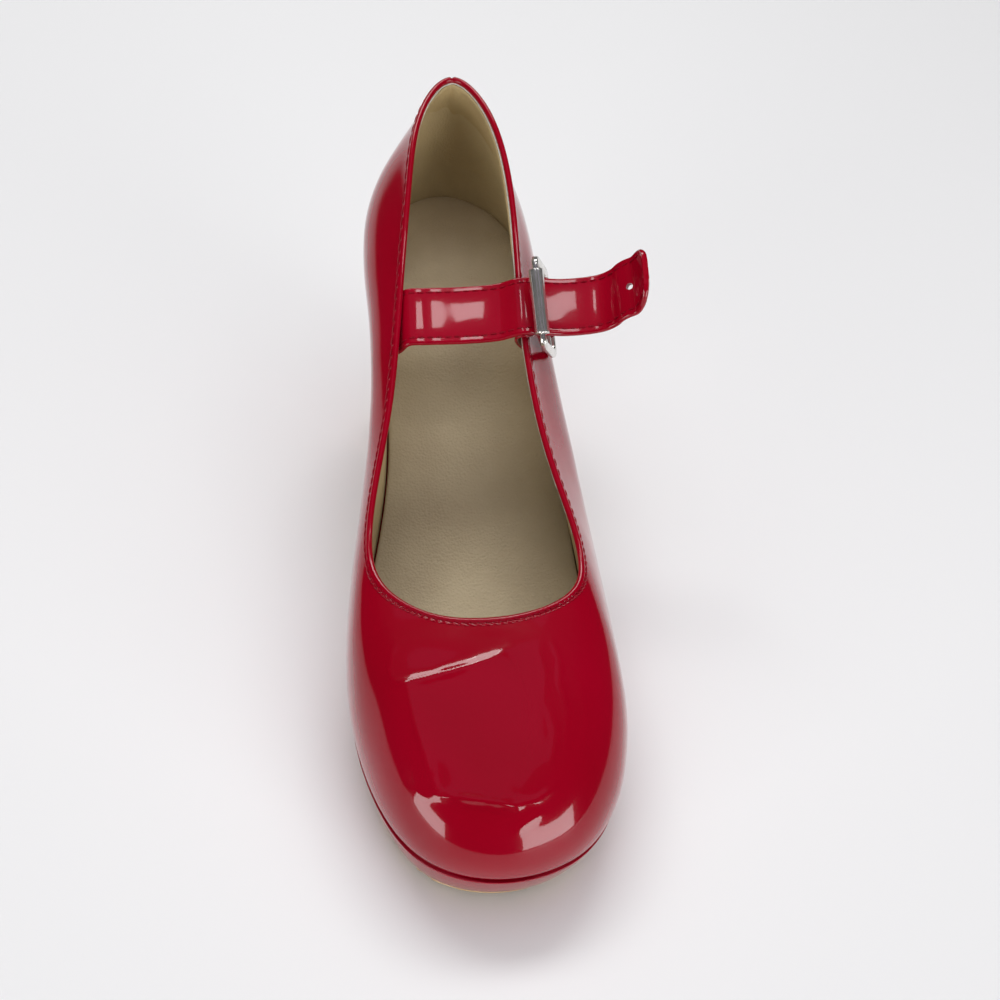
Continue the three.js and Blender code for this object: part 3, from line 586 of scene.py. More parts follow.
def along_line(along, across, line):
    """Distance from each point to a polyline, and the share walked along it."""
    line = np.array(line, float)
    best = np.full(along.shape, 1e9)
    share = np.zeros(along.shape)
    for i in range(len(line) - 1):
        a = line[i]
        d = line[i + 1] - a
        t = np.clip(((along - a[0]) * d[0] + (across - a[1]) * d[1]) / (d @ d), 0, 1)
        gap = np.hypot(along - a[0] - t * d[0], across - a[1] - t * d[1])
        near = gap < best
        best = np.where(near, gap, best)
        share = np.where(near, (i + t) / (len(line) - 1), share)
    return best, share


def crease_relief(points, below):
    """Height of the creases and of the sunk panel between them, faded out towards the topline."""
    along = HEEL_MIDDLE - points[..., 1]
    across = points[..., 0]
    on_top = smoothstep(below, 4, 9) * smoothstep(along, 176, 186)
    relief = np.zeros(along.shape)
    for line, height, half in CREASES:
        gap, share = along_line(along, across, line)
        fade = np.sin(np.pi * np.clip(share * 0.86 + 0.07, 0, 1)) ** 0.7
        uneven = 1 + 0.08 * np.sin(share * 19) + 0.05 * np.sin(share * 37 + 1.3)
        relief += height * fade * uneven * np.exp(-((np.abs(gap) / half) ** 1.5))
    relief -= PANEL_DENT * inside(along, *PANEL_ALONG) * inside(across, *PANEL_ACROSS)
    return relief * on_top


def slow_relief(points):
    """Slow waviness of lacquered leather pulled over a last."""
    x, y, z = [points[..., i] for i in range(3)]
    waves = 0.05 * np.sin(x / 9.1 + y / 14.3 + 1.1) + 0.05 * np.sin(y / 8.3 - z / 11.7 + 0.4)
    waves += 0.035 * np.sin(x / 5.2 - y / 19.0 + z / 7.9 + 2.0) + 0.03 * np.sin((x + z) / 4.4 + y / 6.1)
    return waves


def upper_grid(u, distance):
    """Points of the upper's face at each distance below the topline, and their outward directions."""
    v, _ = v_below_top(u, distance)
    uu = np.repeat(u[:, None], v.shape[1], 1)
    return skin(uu, v), skin_normal(uu, v)


def level_foot(points, moved):
    """The feather edge, in the first and last rows, stays level with the platform."""
    for row in (0, -1):
        moved[:, row, 2] = points[:, row, 2]


def upper_skin():
    u = np.arange(COLUMNS) / COLUMNS
    length = wall_length(u)
    face = lerp(TUCKED, length, np.linspace(1, 0, BODY_ROWS)[None, :])
    back = lerp(TUCKED, length, np.linspace(0, 1, BACK_ROWS)[None, :])
    distance = np.concatenate([face, back], 1)
    points, outward = upper_grid(u, distance)
    relief = crease_relief(points, distance) + slow_relief(points) * smoothstep(distance, 2, 12)
    relief -= BACK_SEAM * np.exp(-((points[..., 0] / 0.6) ** 2)) * (points[..., 1] > 0)
    relief[:, BODY_ROWS:] = -LEATHER
    moved = points + outward * relief[..., None]
    level_foot(points, moved)
    piece = closed_piece("upper_leather", moved.transpose(1, 0, 2), [PATENT])
    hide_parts("upper")


def stitch_wave(u, length):
    """Phase of the stitches along the topline: whole numbers are the holes."""
    return u * round(length / STITCH_PITCH)


def topline_length():
    line = skin(np.linspace(0, 1, 1500), np.ones(1500))
    return float(np.linalg.norm(np.diff(line, axis=0), axis=1).sum())


def binding_section():
    """Distance below the topline and offset from the leather, from the strip's lower edge over the fold."""
    section = [(BINDING_WIDTH + 0.1, 0.0), (BINDING_WIDTH + 0.02, BINDING_STEP * 0.5)]
    section.append((BINDING_WIDTH - 0.25, BINDING_STEP))
    section += [(STITCH_DEPTH + beside, BINDING_STEP) for beside in (0.3, 0, -0.3, -0.6)]
    for turn in np.linspace(0, math.pi, 11):
        fold = (RIM_RADIUS * (1 - math.sin(turn)), BINDING_STEP - RIM_RADIUS + RIM_RADIUS * math.cos(turn))
        section.append(fold)
    section += [(FOLD_INSIDE, -WALL), (FOLD_INSIDE + 0.12, -WALL + 0.15), (FOLD_INSIDE + 0.1, -LEATHER)]
    section += [(BINDING_WIDTH * 0.8, -LEATHER * 0.5)]
    return np.array(section)


def binding():
    """A strip folded over the edge, puckered between the stitch holes."""
    columns = 1600
    u = np.arange(columns) / columns
    section = binding_section()
    distance = np.repeat(section[None, :, 0], columns, 0)
    offset = np.repeat(section[None, :, 1], columns, 0)
    phase = stitch_wave(u, topline_length())[:, None]
    hole = np.exp(-((((phase + 0.5) % 1.0) - 0.5) / 0.13) ** 2)
    along = HEEL_MIDDLE - skin(u, np.ones(columns))[:, 1][:, None]
    strength = 0.5 + 0.5 * smoothstep(along, 150, 172)
    seam = np.exp(-(((distance - STITCH_DEPTH) / 0.42) ** 2)) * (offset > 0.2)
    offset = offset - seam * strength * (0.12 + 0.3 * hole)
    pucker = np.cos(2 * np.pi * phase) * (distance > STITCH_DEPTH + 0.2) * (offset > 0.1)
    distance = distance - 0.22 * strength * pucker
    points, outward = upper_grid(u, distance)
    moved = points + outward * offset[..., None]
    notch = np.exp(-((points[..., 0] / 0.5) ** 2)) * (points[..., 1] > 0)
    moved[..., 2] -= 0.5 * notch * (distance < 1.4)
    piece = closed_piece("topline_binding", moved.transpose(1, 0, 2), [PATENT])
    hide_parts("upper")


def lining():
    """The lining of the wall, with a raw cut edge below the binding."""
    columns = 300
    body_rows = 40
    u = np.arange(columns) / columns
    length = wall_length(u)
    top = FOLD_INSIDE + 0.18
    outer = LEATHER + 0.04
    inner_rows = lerp(top + 0.3, length, np.linspace(1, 0, body_rows)[None, :])
    rim = np.array([(top + 0.1, -WALL - 0.3), (top, -(WALL + outer) / 2), (top + 0.08, -outer), (3, -outer)])
    distance = np.concatenate([inner_rows, np.repeat(rim[None, :, 0], columns, 0), length], 1)
    offset = np.concatenate([np.full(inner_rows.shape, -WALL), np.repeat(rim[None, :, 1], columns, 0),
                             np.full(length.shape, -outer)], 1)
    points, outward = upper_grid(u, distance)
    moved = points + outward * offset[..., None]
    ragged = 0.16 * np.sin(u * 1130 + 2 * np.sin(u * 411)) + 0.1 * np.sin(u * 2210 + 1)
    moved[:, body_rows : body_rows + 3, 2] += ragged[:, None]
    level_foot(points, moved)
    row_material = np.zeros(distance.shape[1], int)
    row_material[body_rows - 2 : body_rows + 3] = 1
    grid = moved.transpose(1, 0, 2)
    piece = closed_piece("upper_lining", grid, [LINING, RAW_EDGE], row_material, flip=True)
    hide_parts("upper")


# Thread


def stitching(name, points, normals, thickness, node):
    """Short rounded stitches, one from each even point to the next, sunk halfway into the leather."""
    stations = np.array([0.0, 0.12, 0.5, 0.88, 1.0])
    swell = np.array([0.25, 0.85, 1.0, 0.85, 0.25]) * thickness / 2
    sides = 6
    turn = full_turn(sides)
    vertices = []
    faces = []
    for begin, end, lean in zip(points[0::2], points[1::2], normals[0::2]):
        run = end - begin
        ahead = unit(run)
        normal = unit(lean - ahead * (lean @ ahead))
        side = np.cross(ahead, normal)
        ring = np.cos(turn)[:, None] * side + np.sin(turn)[:, None] * normal
        first = len(vertices) * sides * len(stations)
        centre = begin + stations[:, None] * run
        centre = centre + normal * (thickness * 0.3 * np.sin(np.pi * stations))[:, None]
        vertices.append((centre[:, None, :] + swell[:, None, None] * ring[None]).reshape(-1, 3))
        faces += grid_faces(len(stations), sides, False, True, first)
        faces += end_caps(first, first + sides * (len(stations) - 1), sides)
    piece = make_piece(name, np.concatenate(vertices), faces, [THREAD])
    weld(piece, FINE_WELD)
    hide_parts(node)


def evenly(points, spacing):
    """Places along a line, as point numbers, where the stitches start and end."""
    steps = np.linalg.norm(np.diff(points, axis=0), axis=1)
    walked = np.concatenate([[0], np.cumsum(steps)])
    count = int(walked[-1] / spacing)
    marks = []
    for i in range(count):
        marks += [i * walked[-1] / count, (i + 0.72) * walked[-1] / count]
    return np.interp(marks, walked, np.arange(len(points)))


def at_marks(values, marks):
    low = np.floor(marks).astype(int)
    high = np.minimum(low + 1, len(values) - 1)
    return lerp(values[low], values[high], (marks - low)[:, None])


def topline_stitching():
    """The stitches that hold the binding, each a little aslant."""
    count = round(topline_length() / STITCH_PITCH)
    starts = (np.arange(count) + 0.08) / count
    ends = (np.arange(count) + 0.92) / count
    u = np.stack([starts, ends], -1).reshape(-1)
    depth = STITCH_DEPTH + np.tile([0.22, -0.22], count)
    v = v_below_top(u, depth[:, None])[0][:, 0]
    normal = skin_normal(u, v)
    points = skin(u, v) + normal * (BINDING_STEP - 0.1)
    stitching("topline_stitching", points, normal, 0.5, "upper")


# Counter lining inside the heel


def heel_gathers(points, distance):
    """Soft folds where the lining is gathered round the back."""
    across = points[..., 0]
    folds = 0.55 * np.exp(-(((across - 2.5) / 1.8) ** 2)) + 0.4 * np.exp(-(((across + 5.5) / 2.2) ** 2))
    return folds * smoothstep(-distance, -30, -4) * (points[..., 1] > 0)


def counter_lining():
    """A second lining round the heel, from one side of the waist to the other."""
    start = find_u(False, feather_along, COUNTER_TO_INNER) - 1
    u = np.linspace(start, find_u(True, feather_along, COUNTER_TO_OUTER), 120)
    distance = lerp(FOLD_INSIDE + 0.5, wall_length(u) - COUNTER_ABOVE_FOOT, np.linspace(0, 1, 40)[None, :])
    points, outward = upper_grid(u, distance)
    from_end = np.minimum(np.arange(len(u)), np.arange(len(u))[::-1])
    thickness = COUNTER_THICKNESS * (0.4 + 0.6 * np.clip(from_end / 2, 0, 1)[:, None])
    inner = WALL + 0.05
    face = points - outward * (inner + thickness + heel_gathers(points, distance))[..., None]
    back = points - outward * inner
    closed = np.concatenate([face, back[:, ::-1]], 1).transpose(1, 0, 2)
    rows, columns = closed.shape[:2]
    faces = grid_faces(rows, columns, True, False, flip=True)
    half = rows // 2
    for edge in (0, columns - 1):
        for r in range(half - 1):
            quad = [r * columns + edge, (r + 1) * columns + edge,
                    (rows - 2 - r) * columns + edge, (rows - 1 - r) * columns + edge]
            faces.append(quad if edge else quad[::-1])
    piece = make_piece("counter_lining", closed.reshape(-1, 3), faces, [HEEL_LINING])
    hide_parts("upper")


# Sole, heel and insole


def side_us(along):
    along = np.asarray(along, float)
    return find_u(True, feather_along, along), find_u(False, feather_along, along)


PAIR_COUNT = 170
PAIR_ALONG = TOE * (1 + np.cos(np.pi * np.arange(PAIR_COUNT + 1) / PAIR_COUNT)) / 2
FULL_PAIRS = side_us(PAIR_ALONG)


def outline_level(pairs, offset, height):
    return outline_at(pairs[0], offset), outline_at(pairs[1], offset), height


def floor_side(along):
    """Height of the sole's underside: thin through the waist, flat under the ball, sprung at the toe."""
    share = along / LAST_LENGTH
    spring = np.maximum(share - SPRING_FROM, 0) / (1 - SPRING_FROM)
    thin = last_bottom(along) - WAIST_THICKNESS - OUTSOLE_THICKNESS - GAP
    return lerp(thin, spring * spring * TOE_SPRING, smoothstep(share, WAIST_TO, FLAT_FROM))


def sole_under(along):
    return floor_side(along) + OUTSOLE_THICKNESS + GAP


def platform_cover():
    levels = []
    for share in (0, 0.015, 0.04, 0.08, 0.13, 0.22, 0.35, 0.5, 0.65, 0.78, 0.88, 0.94, 0.975, 1):
        ease = 0.2 * (1 - math.sqrt(1 - max(0, 1 - share / 0.06) ** 2))
        ease += 0.7 * (1 - math.sqrt(1 - max(0, 1 - (1 - share) / 0.06) ** 2))
        offset = lerp(SOLE_EDGE, -SOLE_INSET, share) + 0.3 * math.sin(math.pi * share) - ease

        def height(along, share=share):
            return lerp(last_bottom(along) + 0.25, sole_under(along), share)

        levels.append(outline_level(FULL_PAIRS, offset, height))
    piece = plate_piece("platform_cover", levels, 8, [SOLE_PATENT])
    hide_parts("platform_sole")


def outsole_sheet():
    along = np.concatenate([PAIR_ALONG[PAIR_ALONG > HEEL_LENGTH + 1], [HEEL_LENGTH + GAP]])
    pairs = side_us(along)
    edge = -SOLE_INSET - OUTSOLE_INSET - OUTSOLE_SHY

    def rough(offset, height):
        """A level whose cut edge is uneven."""
        outer, inner, height = outline_level(pairs, offset, height)
        for side, phase in ((outer, 0.0), (inner, 1.7)):
            wave = 0.22 * np.sin(along * 1.3 + phase) + 0.2 * np.sin(along * 4.7 + 2 * phase)
            side[:, 1] += wave * np.sign(side[:, 1]) * smoothstep(np.abs(side[:, 1]), 4, 12)
        return outer, inner, height

    levels = [
        rough(edge, lambda a: sole_under(a) - GAP),
        rough(edge + 0.25, lambda a: floor_side(a) + OUTSOLE_THICKNESS * 0.55),
        rough(edge, lambda a: floor_side(a) + 0.35),
        rough(edge - 0.4, floor_side),
    ]
    piece = plate_piece("outsole_sheet", levels, 8, [TAN])
    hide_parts("outsole")


def sock():
    """The padded sock, rounded at its upper edge."""
    edge = -WALL - GAP
    top = GAP + INSOLE_THICKNESS
    levels = []
    rounded = ((-1.6, 0), (-0.9, 0.1), (-0.4, 0.3), (-0.1, 0.65), (0, 1.1), (0, INSOLE_THICKNESS))
    for offset, down in rounded:

        def height(along, down=down):
            return last_bottom(along) + top - down

        levels.append(outline_level(FULL_PAIRS, edge + offset, height))
    piece = plate_piece("sock_lining", levels, 14, [SOCK])
    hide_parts("insole")


# Stations of the heel, from its front to the back: even ones, then closer ones round the curve
HEEL_CURVE = 12
HEEL_PAIRS = side_us(np.concatenate([[HEEL_LENGTH], np.linspace(HEEL_LENGTH - 1, HEEL_CURVE, 24),
                                     HEEL_CURVE * (1 - np.sin(np.pi / 2 * np.arange(1, 31) / 30))]))


def heel_level(share, height, out=0.0):
    """The heel's outline at a share of the way down, drawn in towards the floor."""
    drawn = 1 - (1 - share) ** 2
    along_scale = lerp(1, HEEL_TAPER_ALONG, drawn)
    across_scale = lerp(1, HEEL_TAPER_ACROSS, drawn)
    sides = []
    for us in HEEL_PAIRS:
        line = outline_at(us, out - HEEL_INSET)
        line[:, 0] = np.minimum(line[:, 0], HEEL_LENGTH)
        sides.append(np.stack([lerp(HEEL_MIDDLE, line[:, 0], along_scale), line[:, 1] * across_scale], -1))
    return sides[0], sides[1], height


def seat_under(along):
    return last_bottom(along) - WAIST_THICKNESS - 2 * GAP


def heel_cover():
    bottom = TOP_LIFT_THICKNESS + GAP
    levels = []
    for share in [0, 0.004, 0.012] + [i / 30 for i in range(1, 30)] + [0.99, 0.997, 1]:
        ease = 0.35 * (share < 0.002) + 0.35 * (share > 0.998)
        levels.append(heel_level(share, lambda along, s=share: lerp(seat_under(along), bottom, s), -ease))
    piece = plate_piece("heel_cover", levels, 8, [SOLE_PATENT])
    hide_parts("heel")


def top_lift():
    levels = []
    rounded = ((TOP_LIFT_THICKNESS, -0.3), (TOP_LIFT_THICKNESS - 0.3, 0), (0.5, 0), (0.15, -0.15), (0, -0.5))
    for height, out in rounded:
        levels.append(heel_level(1, lambda along, h=height: h + 0 * along, out))
    piece = plate_piece("top_lift_rubber", levels, 6, [TAN])
    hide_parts("top_lift")


# Strap, tab and buckle: their lines lie in the strap's plane, as x and height


def topline_u(along, outer):
    return float(find_u(outer, top_along, along))


OUTER_U = topline_u(STRAP_PLACE, True)
INNER_U = topline_u(STRAP_PLACE, False)
RIM_OUTER = skin(np.array(OUTER_U), np.array(1.0))
RIM_STEP = 5
RIM_BACK = skin(np.array(topline_u(STRAP_PLACE - RIM_STEP, True)), np.array(1.0))
RIM_FRONT = skin(np.array(topline_u(STRAP_PLACE + RIM_STEP, True)), np.array(1.0))
RIM_SLOPE = math.atan2(RIM_BACK[2] - RIM_FRONT[2], RIM_BACK[1] - RIM_FRONT[1])

UP = np.array([0.0, 0.0, 1.0])
STRAP_ACROSS = np.array([0, math.cos(RIM_SLOPE), math.sin(RIM_SLOPE)])
STRAP_UP = np.array([0, -math.sin(RIM_SLOPE), math.cos(RIM_SLOPE)])
STRAP_LIFT = unit(STRAP_UP + UP)
STRAP_MIDDLE = np.array([0, HEEL_MIDDLE - STRAP_PLACE, RIM_OUTER[2]])


def below_top_point(u, depth, offset):
    u = np.array([u])
    v, _ = v_below_top(u, np.array([[depth]]))
    point = skin(u, v[:, 0]) + skin_normal(u, v[:, 0]) * offset
    return in_strap_plane(point[0])


def in_strap_plane(point):
    return [float(point[0]), float((point - STRAP_MIDDLE) @ STRAP_UP)]


def inside_wall(u, depth, clearance):
    return below_top_point(u, depth, -WALL - clearance)


RIM_X, RIM_RISE = below_top_point(OUTER_U, RIM_RADIUS, BINDING_STEP - RIM_RADIUS)
TAB_BEND = RIM_RADIUS + GAP + BEND_ROOM + TAB_THICKNESS / 2
STRAP_OVER = RIM_RISE + TAB_BEND + TAB_THICKNESS / 2 + GAP + STRAP_THICKNESS / 2
ROLLER_X = RIM_X + TAB_BEND + ROLLER_PAST_TAB

# The free end's line, in shares of FREE_LENGTH from the roller
FREE_LINE = [(0.25, -0.02), (0.5, 0.01), (0.62, 0.055), (0.69, 0.12), (0.72, 0.18), (0.77, 0.235),
             (0.83, 0.28), (0.855, 0.36), (0.865, 0.44), (0.87, 0.51)]


def strap_profile():
    """The strap's middle line: inside the inner wall, over the foot, over the outer rim, to the free end."""
    clear = GAP + BEND_ROOM + STRAP_THICKNESS / 2
    start = inside_wall(INNER_U, SEWN_DEPTH * 0.3, clear)
    line = [inside_wall(INNER_U, SEWN_DEPTH, clear), inside_wall(INNER_U, SEWN_DEPTH * 0.62, clear), start]
    for share, sag in ((0.06, 1), (0.2, 0.7), (0.5, 0.5)):
        line.append([lerp(start[0], RIM_X, share), -STRAP_SAG * sag])
    line.append([lerp(start[0], RIM_X, 0.8), lerp(-STRAP_SAG, STRAP_OVER, 0.45)])
    line += [[RIM_X - TAB_BEND / 2, STRAP_OVER], [ROLLER_X, STRAP_OVER]]
    line += [[ROLLER_X + a * FREE_LENGTH, STRAP_OVER + r * FREE_LENGTH] for a, r in FREE_LINE]
    return np.array(line)


def centripetal(points, count):
    """Evenly spaced points of a centripetal Catmull-Rom curve."""
    points = np.asarray(points, float)
    padded = np.vstack([2 * points[0] - points[1], points, 2 * points[-1] - points[-2]])
    gaps = np.linalg.norm(np.diff(padded, axis=0), axis=1) ** 0.5
    t = np.linspace(0, 1, 60, endpoint=False)[:, None]
    dense = []
    for i in range(len(points) - 1):
        p0, p1, p2, p3 = padded[i : i + 4]
        d0, d1, d2 = gaps[i : i + 3]
        m1 = ((p1 - p0) / d0 - (p2 - p0) / (d0 + d1) + (p2 - p1) / d1) * d1
        m2 = ((p2 - p1) / d1 - (p3 - p1) / (d1 + d2) + (p3 - p2) / d2) * d1
        square = -3 * p1 + 3 * p2 - 2 * m1 - m2
        cube = 2 * p1 - 2 * p2 + m1 + m2
        dense.append(p1 + m1 * t + square * t**2 + cube * t**3)
    dense.append(points[-1:])
    dense = np.concatenate(dense)
    walked = np.concatenate([[0], np.cumsum(np.linalg.norm(np.diff(dense, axis=0), axis=1))])
    marks = np.linspace(0, walked[-1], count)
    return np.stack([np.interp(marks, walked, dense[:, k]) for k in range(points.shape[1])], -1)


def band_frame(profile, count):
    """Centre line of a band, with its directions along x and height."""
    line = centripetal(profile, count)
    tangent = unit(np.gradient(line, axis=0))
    return line, np.stack([-tangent[:, 1], tangent[:, 0]], -1)


def on_band(line, normal, lift, across, off, side=STRAP_ACROSS):
    """A point of a band at a distance across it and off its middle surface."""
    x = line[..., 0] + normal[..., 0] * off
    rise = line[..., 1] + normal[..., 1] * off
    point = STRAP_MIDDLE + x[..., None] * np.array([1.0, 0, 0])
    return point + rise[..., None] * lift + across[..., None] * side


def band_section(half, thickness, steps, groove):
    """One ring of a band, as (across, off), and which of its points lie on the band's back."""
    h = thickness / 2
    edge = 0.5 * thickness
    turn = np.linspace(0, np.pi / 2, 5)
    face = np.linspace(edge - half, half - edge, steps)
    off = h - groove * np.exp(-(((half - np.abs(face)) - STITCH_FROM_EDGE) / 0.45) ** 2)
    off -= EDGE_DROP * np.exp(-(((half - np.abs(face)) / 3.0) ** 2))
    right = np.stack([half - edge + edge * np.sin(turn[1:]), h * np.cos(turn[1:])], -1)
    right_low = np.stack([half - edge + edge * np.cos(turn[1:]), -h * np.sin(turn[1:])], -1)
    back = np.stack([face[::-1][1:-1], np.full(steps - 2, -h)], -1)
    left_low = np.stack([edge - half - edge * np.sin(turn), -h * np.cos(turn)], -1)
    left = np.stack([edge - half - edge * np.cos(turn[1:-1]), h * np.sin(turn[1:-1])], -1)
    front = np.stack([face, off], -1)
    ring = np.concatenate([front, right, right_low, back, left_low, left])
    on_back = np.zeros(len(ring), int)
    on_back[steps + 6 : 2 * steps + 8] = 1
    return ring, on_back


def strap_half(share):
    t = np.clip(np.maximum(share - TIP_SHARE, 0) / (1 - TIP_SHARE), 0, 1)
    return STRAP_WIDTH / 2 * (1 - TIP_NARROWING + TIP_NARROWING * np.sqrt(1 - t * t))


def band_piece(name, node, profile, thickness, half_at, lift, count, steps, groove, twist=None):
    """A band of leather along a line. A twist of 1 lays its width along the buckle's bar."""
    line, normal = band_frame(profile, count)
    share = np.linspace(0, 1, count)
    halves = half_at(share)
    rings = []
    for i in range(count):
        ring, on_back = band_section(halves[i], thickness, steps, groove)
        size = len(ring)
        turn = twist(share[i]) if twist else 0.0
        side = lerp(STRAP_ACROSS, BAR_SIDE, turn)
        rings.append(on_band(np.repeat(line[i : i + 1], size, 0), np.repeat(normal[i : i + 1], size, 0), lift,
                             ring[:, 0] + BAR_OFF_PLANE * turn, ring[:, 1], side))
    grid = np.array(rings)
    faces = grid_faces(count, size, False, True, flip=True) + end_caps((count - 1) * size, 0, size)
    face_material = np.concatenate([np.tile(on_back, count - 1), [0, 0]])
    piece = make_piece(name, grid.reshape(-1, 3), faces, [PATENT, MAUVE], face_material)
    weld(piece, BAND_WELD)
    piece.data.set_sharp_from_angle(angle=SHARP)
    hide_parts(node)
    return piece


def strap():
    piece = band_piece("strap_leather", "strap", strap_profile(), STRAP_THICKNESS, strap_half, STRAP_LIFT,
                       300, 31, 0.1)
    punch_hole(piece)
    strap_stitching()


def cut_away(piece, shape, placed):
    """Cuts a plain body out of a piece: shape fills an empty mesh, placed is the body's matrix."""
    mesh = bpy.data.meshes.new("cutter")
    bm = bmesh.new()
    shape(bm)
    bm.to_mesh(mesh)
    bm.free()
    body = bpy.data.objects.new("cutter", mesh)
    bpy.context.scene.collection.objects.link(body)
    body.matrix_world = placed
    cut = piece.modifiers.new("cut", "BOOLEAN")
    cut.operation = "DIFFERENCE"
    cut.object = body
    cut.solver = "EXACT"
    apply_modifiers(piece)
    bpy.data.objects.remove(body)


def punch_hole(piece):
    radius = HOLE_DIAMETER / 2 * MM
    middle = STRAP_MIDDLE + np.array([ROLLER_X + FREE_LENGTH * HOLE_PLACE, 0, 0])
    middle = middle + STRAP_LIFT * (STRAP_OVER + FREE_LENGTH * HOLE_RISE)
    through = STRAP_UP * math.cos(HOLE_LEAN) - np.array([math.sin(HOLE_LEAN), 0, 0])
    turn = Vector(through).to_track_quat("Z", "Y").to_matrix().to_4x4()

    def punch(bm):
        bmesh.ops.create_cone(bm, cap_ends=True, segments=28, radius1=radius, radius2=radius,
                              depth=4 * STRAP_THICKNESS * MM)

    cut_away(piece, punch, Matrix.Translation(Vector(middle * MM)) @ turn)


def apply_modifiers(piece):
    depsgraph = bpy.context.evaluated_depsgraph_get()
    done = bpy.data.meshes.new_from_object(piece.evaluated_get(depsgraph))
    old = piece.data
    piece.modifiers.clear()
    piece.data = done
    bpy.data.meshes.remove(old)


def strap_stitching():
    """A row of stitches along each edge of the strap."""
    line, normal = band_frame(strap_profile(), 1200)
    share = np.linspace(0, 1, len(line))
    keep = share < STITCHED_TO
    up = normal[:, :1] * np.array([[1.0, 0, 0]]) + normal[:, 1:] * STRAP_LIFT[None]
    off = np.full(len(line), STRAP_THICKNESS / 2 - 0.1)
    points = []
    normals = []
    for side in (-1, 1):
        across = side * (strap_half(share) - STITCH_FROM_EDGE)
        row = on_band(line, normal, STRAP_LIFT, across, off)
        marks = evenly(row[keep], STRAP_STITCH_PITCH)
        points.append(at_marks(row[keep], marks))
        normals.append(at_marks(up[keep], marks))
    stitching("strap_stitching", np.concatenate(points), np.concatenate(normals), 0.4, "strap")


BAR_SPACING = (BUCKLE_LENGTH - BUCKLE_WIRE) / 2
PITCH_ROOM = math.sin(BUCKLE_PITCH) * STRAP_WIDTH / 2
ROLLER_RISE = STRAP_OVER + STRAP_THICKNESS / 2 + GAP + PITCH_ROOM + ROLLER_DIAMETER / 2


def buckle_place():
    """Directions along the bars, up and out of the face as rows, and the middle of the roller."""
    bar = STRAP_ACROSS * math.cos(BUCKLE_PITCH) + STRAP_UP * math.sin(BUCKLE_PITCH)
    bar = unit(bar + np.array([-BUCKLE_YAW, 0, 0]))
    up = STRAP_UP + np.array([-BUCKLE_LEAN, 0, 0])
    up = unit(up - bar * (up @ bar))
    centre = STRAP_MIDDLE + np.array([ROLLER_X, 0, 0]) + STRAP_UP * ROLLER_RISE
    return np.stack([bar, up, np.cross(bar, up)]), centre


BUCKLE_AXES, ROLLER_CENTRE = buckle_place()


def in_buckle(points):
    """Points of the buckle's own frame (along its bars, up, out of its face) in the shoe's frame."""
    return np.asarray(points) @ BUCKLE_AXES + ROLLER_CENTRE


BAR_CENTRE = in_buckle([0, -BAR_SPACING, 0])
BAR_SIDE = BUCKLE_AXES[0] / (BUCKLE_AXES[0] @ STRAP_ACROSS)
BAR_OFF_PLANE = float((BAR_CENTRE - STRAP_MIDDLE) @ STRAP_ACROSS)
BAR_IN_PLANE = BAR_CENTRE - BAR_SIDE * BAR_OFF_PLANE


def rounded_rectangle(width, height, radius, arc_steps):
    points = []
    turn = np.linspace(0, np.pi / 2, arc_steps)
    for corner in range(4):
        angle = turn + corner * np.pi / 2
        sx = 1 if corner in (0, 3) else -1
        sy = 1 if corner in (0, 1) else -1
        centre = np.array([sx * (width / 2 - radius), sy * (height / 2 - radius)])
        points.append(centre + radius * np.stack([np.cos(angle), np.sin(angle)], -1))
    return np.concatenate(points)


def wire_path():
    """Points along the middle of the frame's wire, and at each the direction out of the frame."""
    arc_steps = 12
    middle = rounded_rectangle(BUCKLE_WIDTH - BUCKLE_WIRE, BUCKLE_LENGTH - BUCKLE_WIRE,
                               BUCKLE_CORNER - BUCKLE_WIRE / 2, arc_steps)
    outer = rounded_rectangle(BUCKLE_WIDTH, BUCKLE_LENGTH, BUCKLE_CORNER, arc_steps)
    path = []
    edges = []
    for here, after, edge in zip(middle, np.roll(middle, -1, 0), unit(outer - middle)):
        straight = np.linalg.norm(after - here) > 2 * BUCKLE_WIRE
        shares = (0, 0.02, 0.25, 0.5, 0.75, 0.98) if straight else (0,)
        for share in shares:
            path.append(lerp(here, after, share))
            edges.append(edge)
    return np.array(path), np.array(edges)


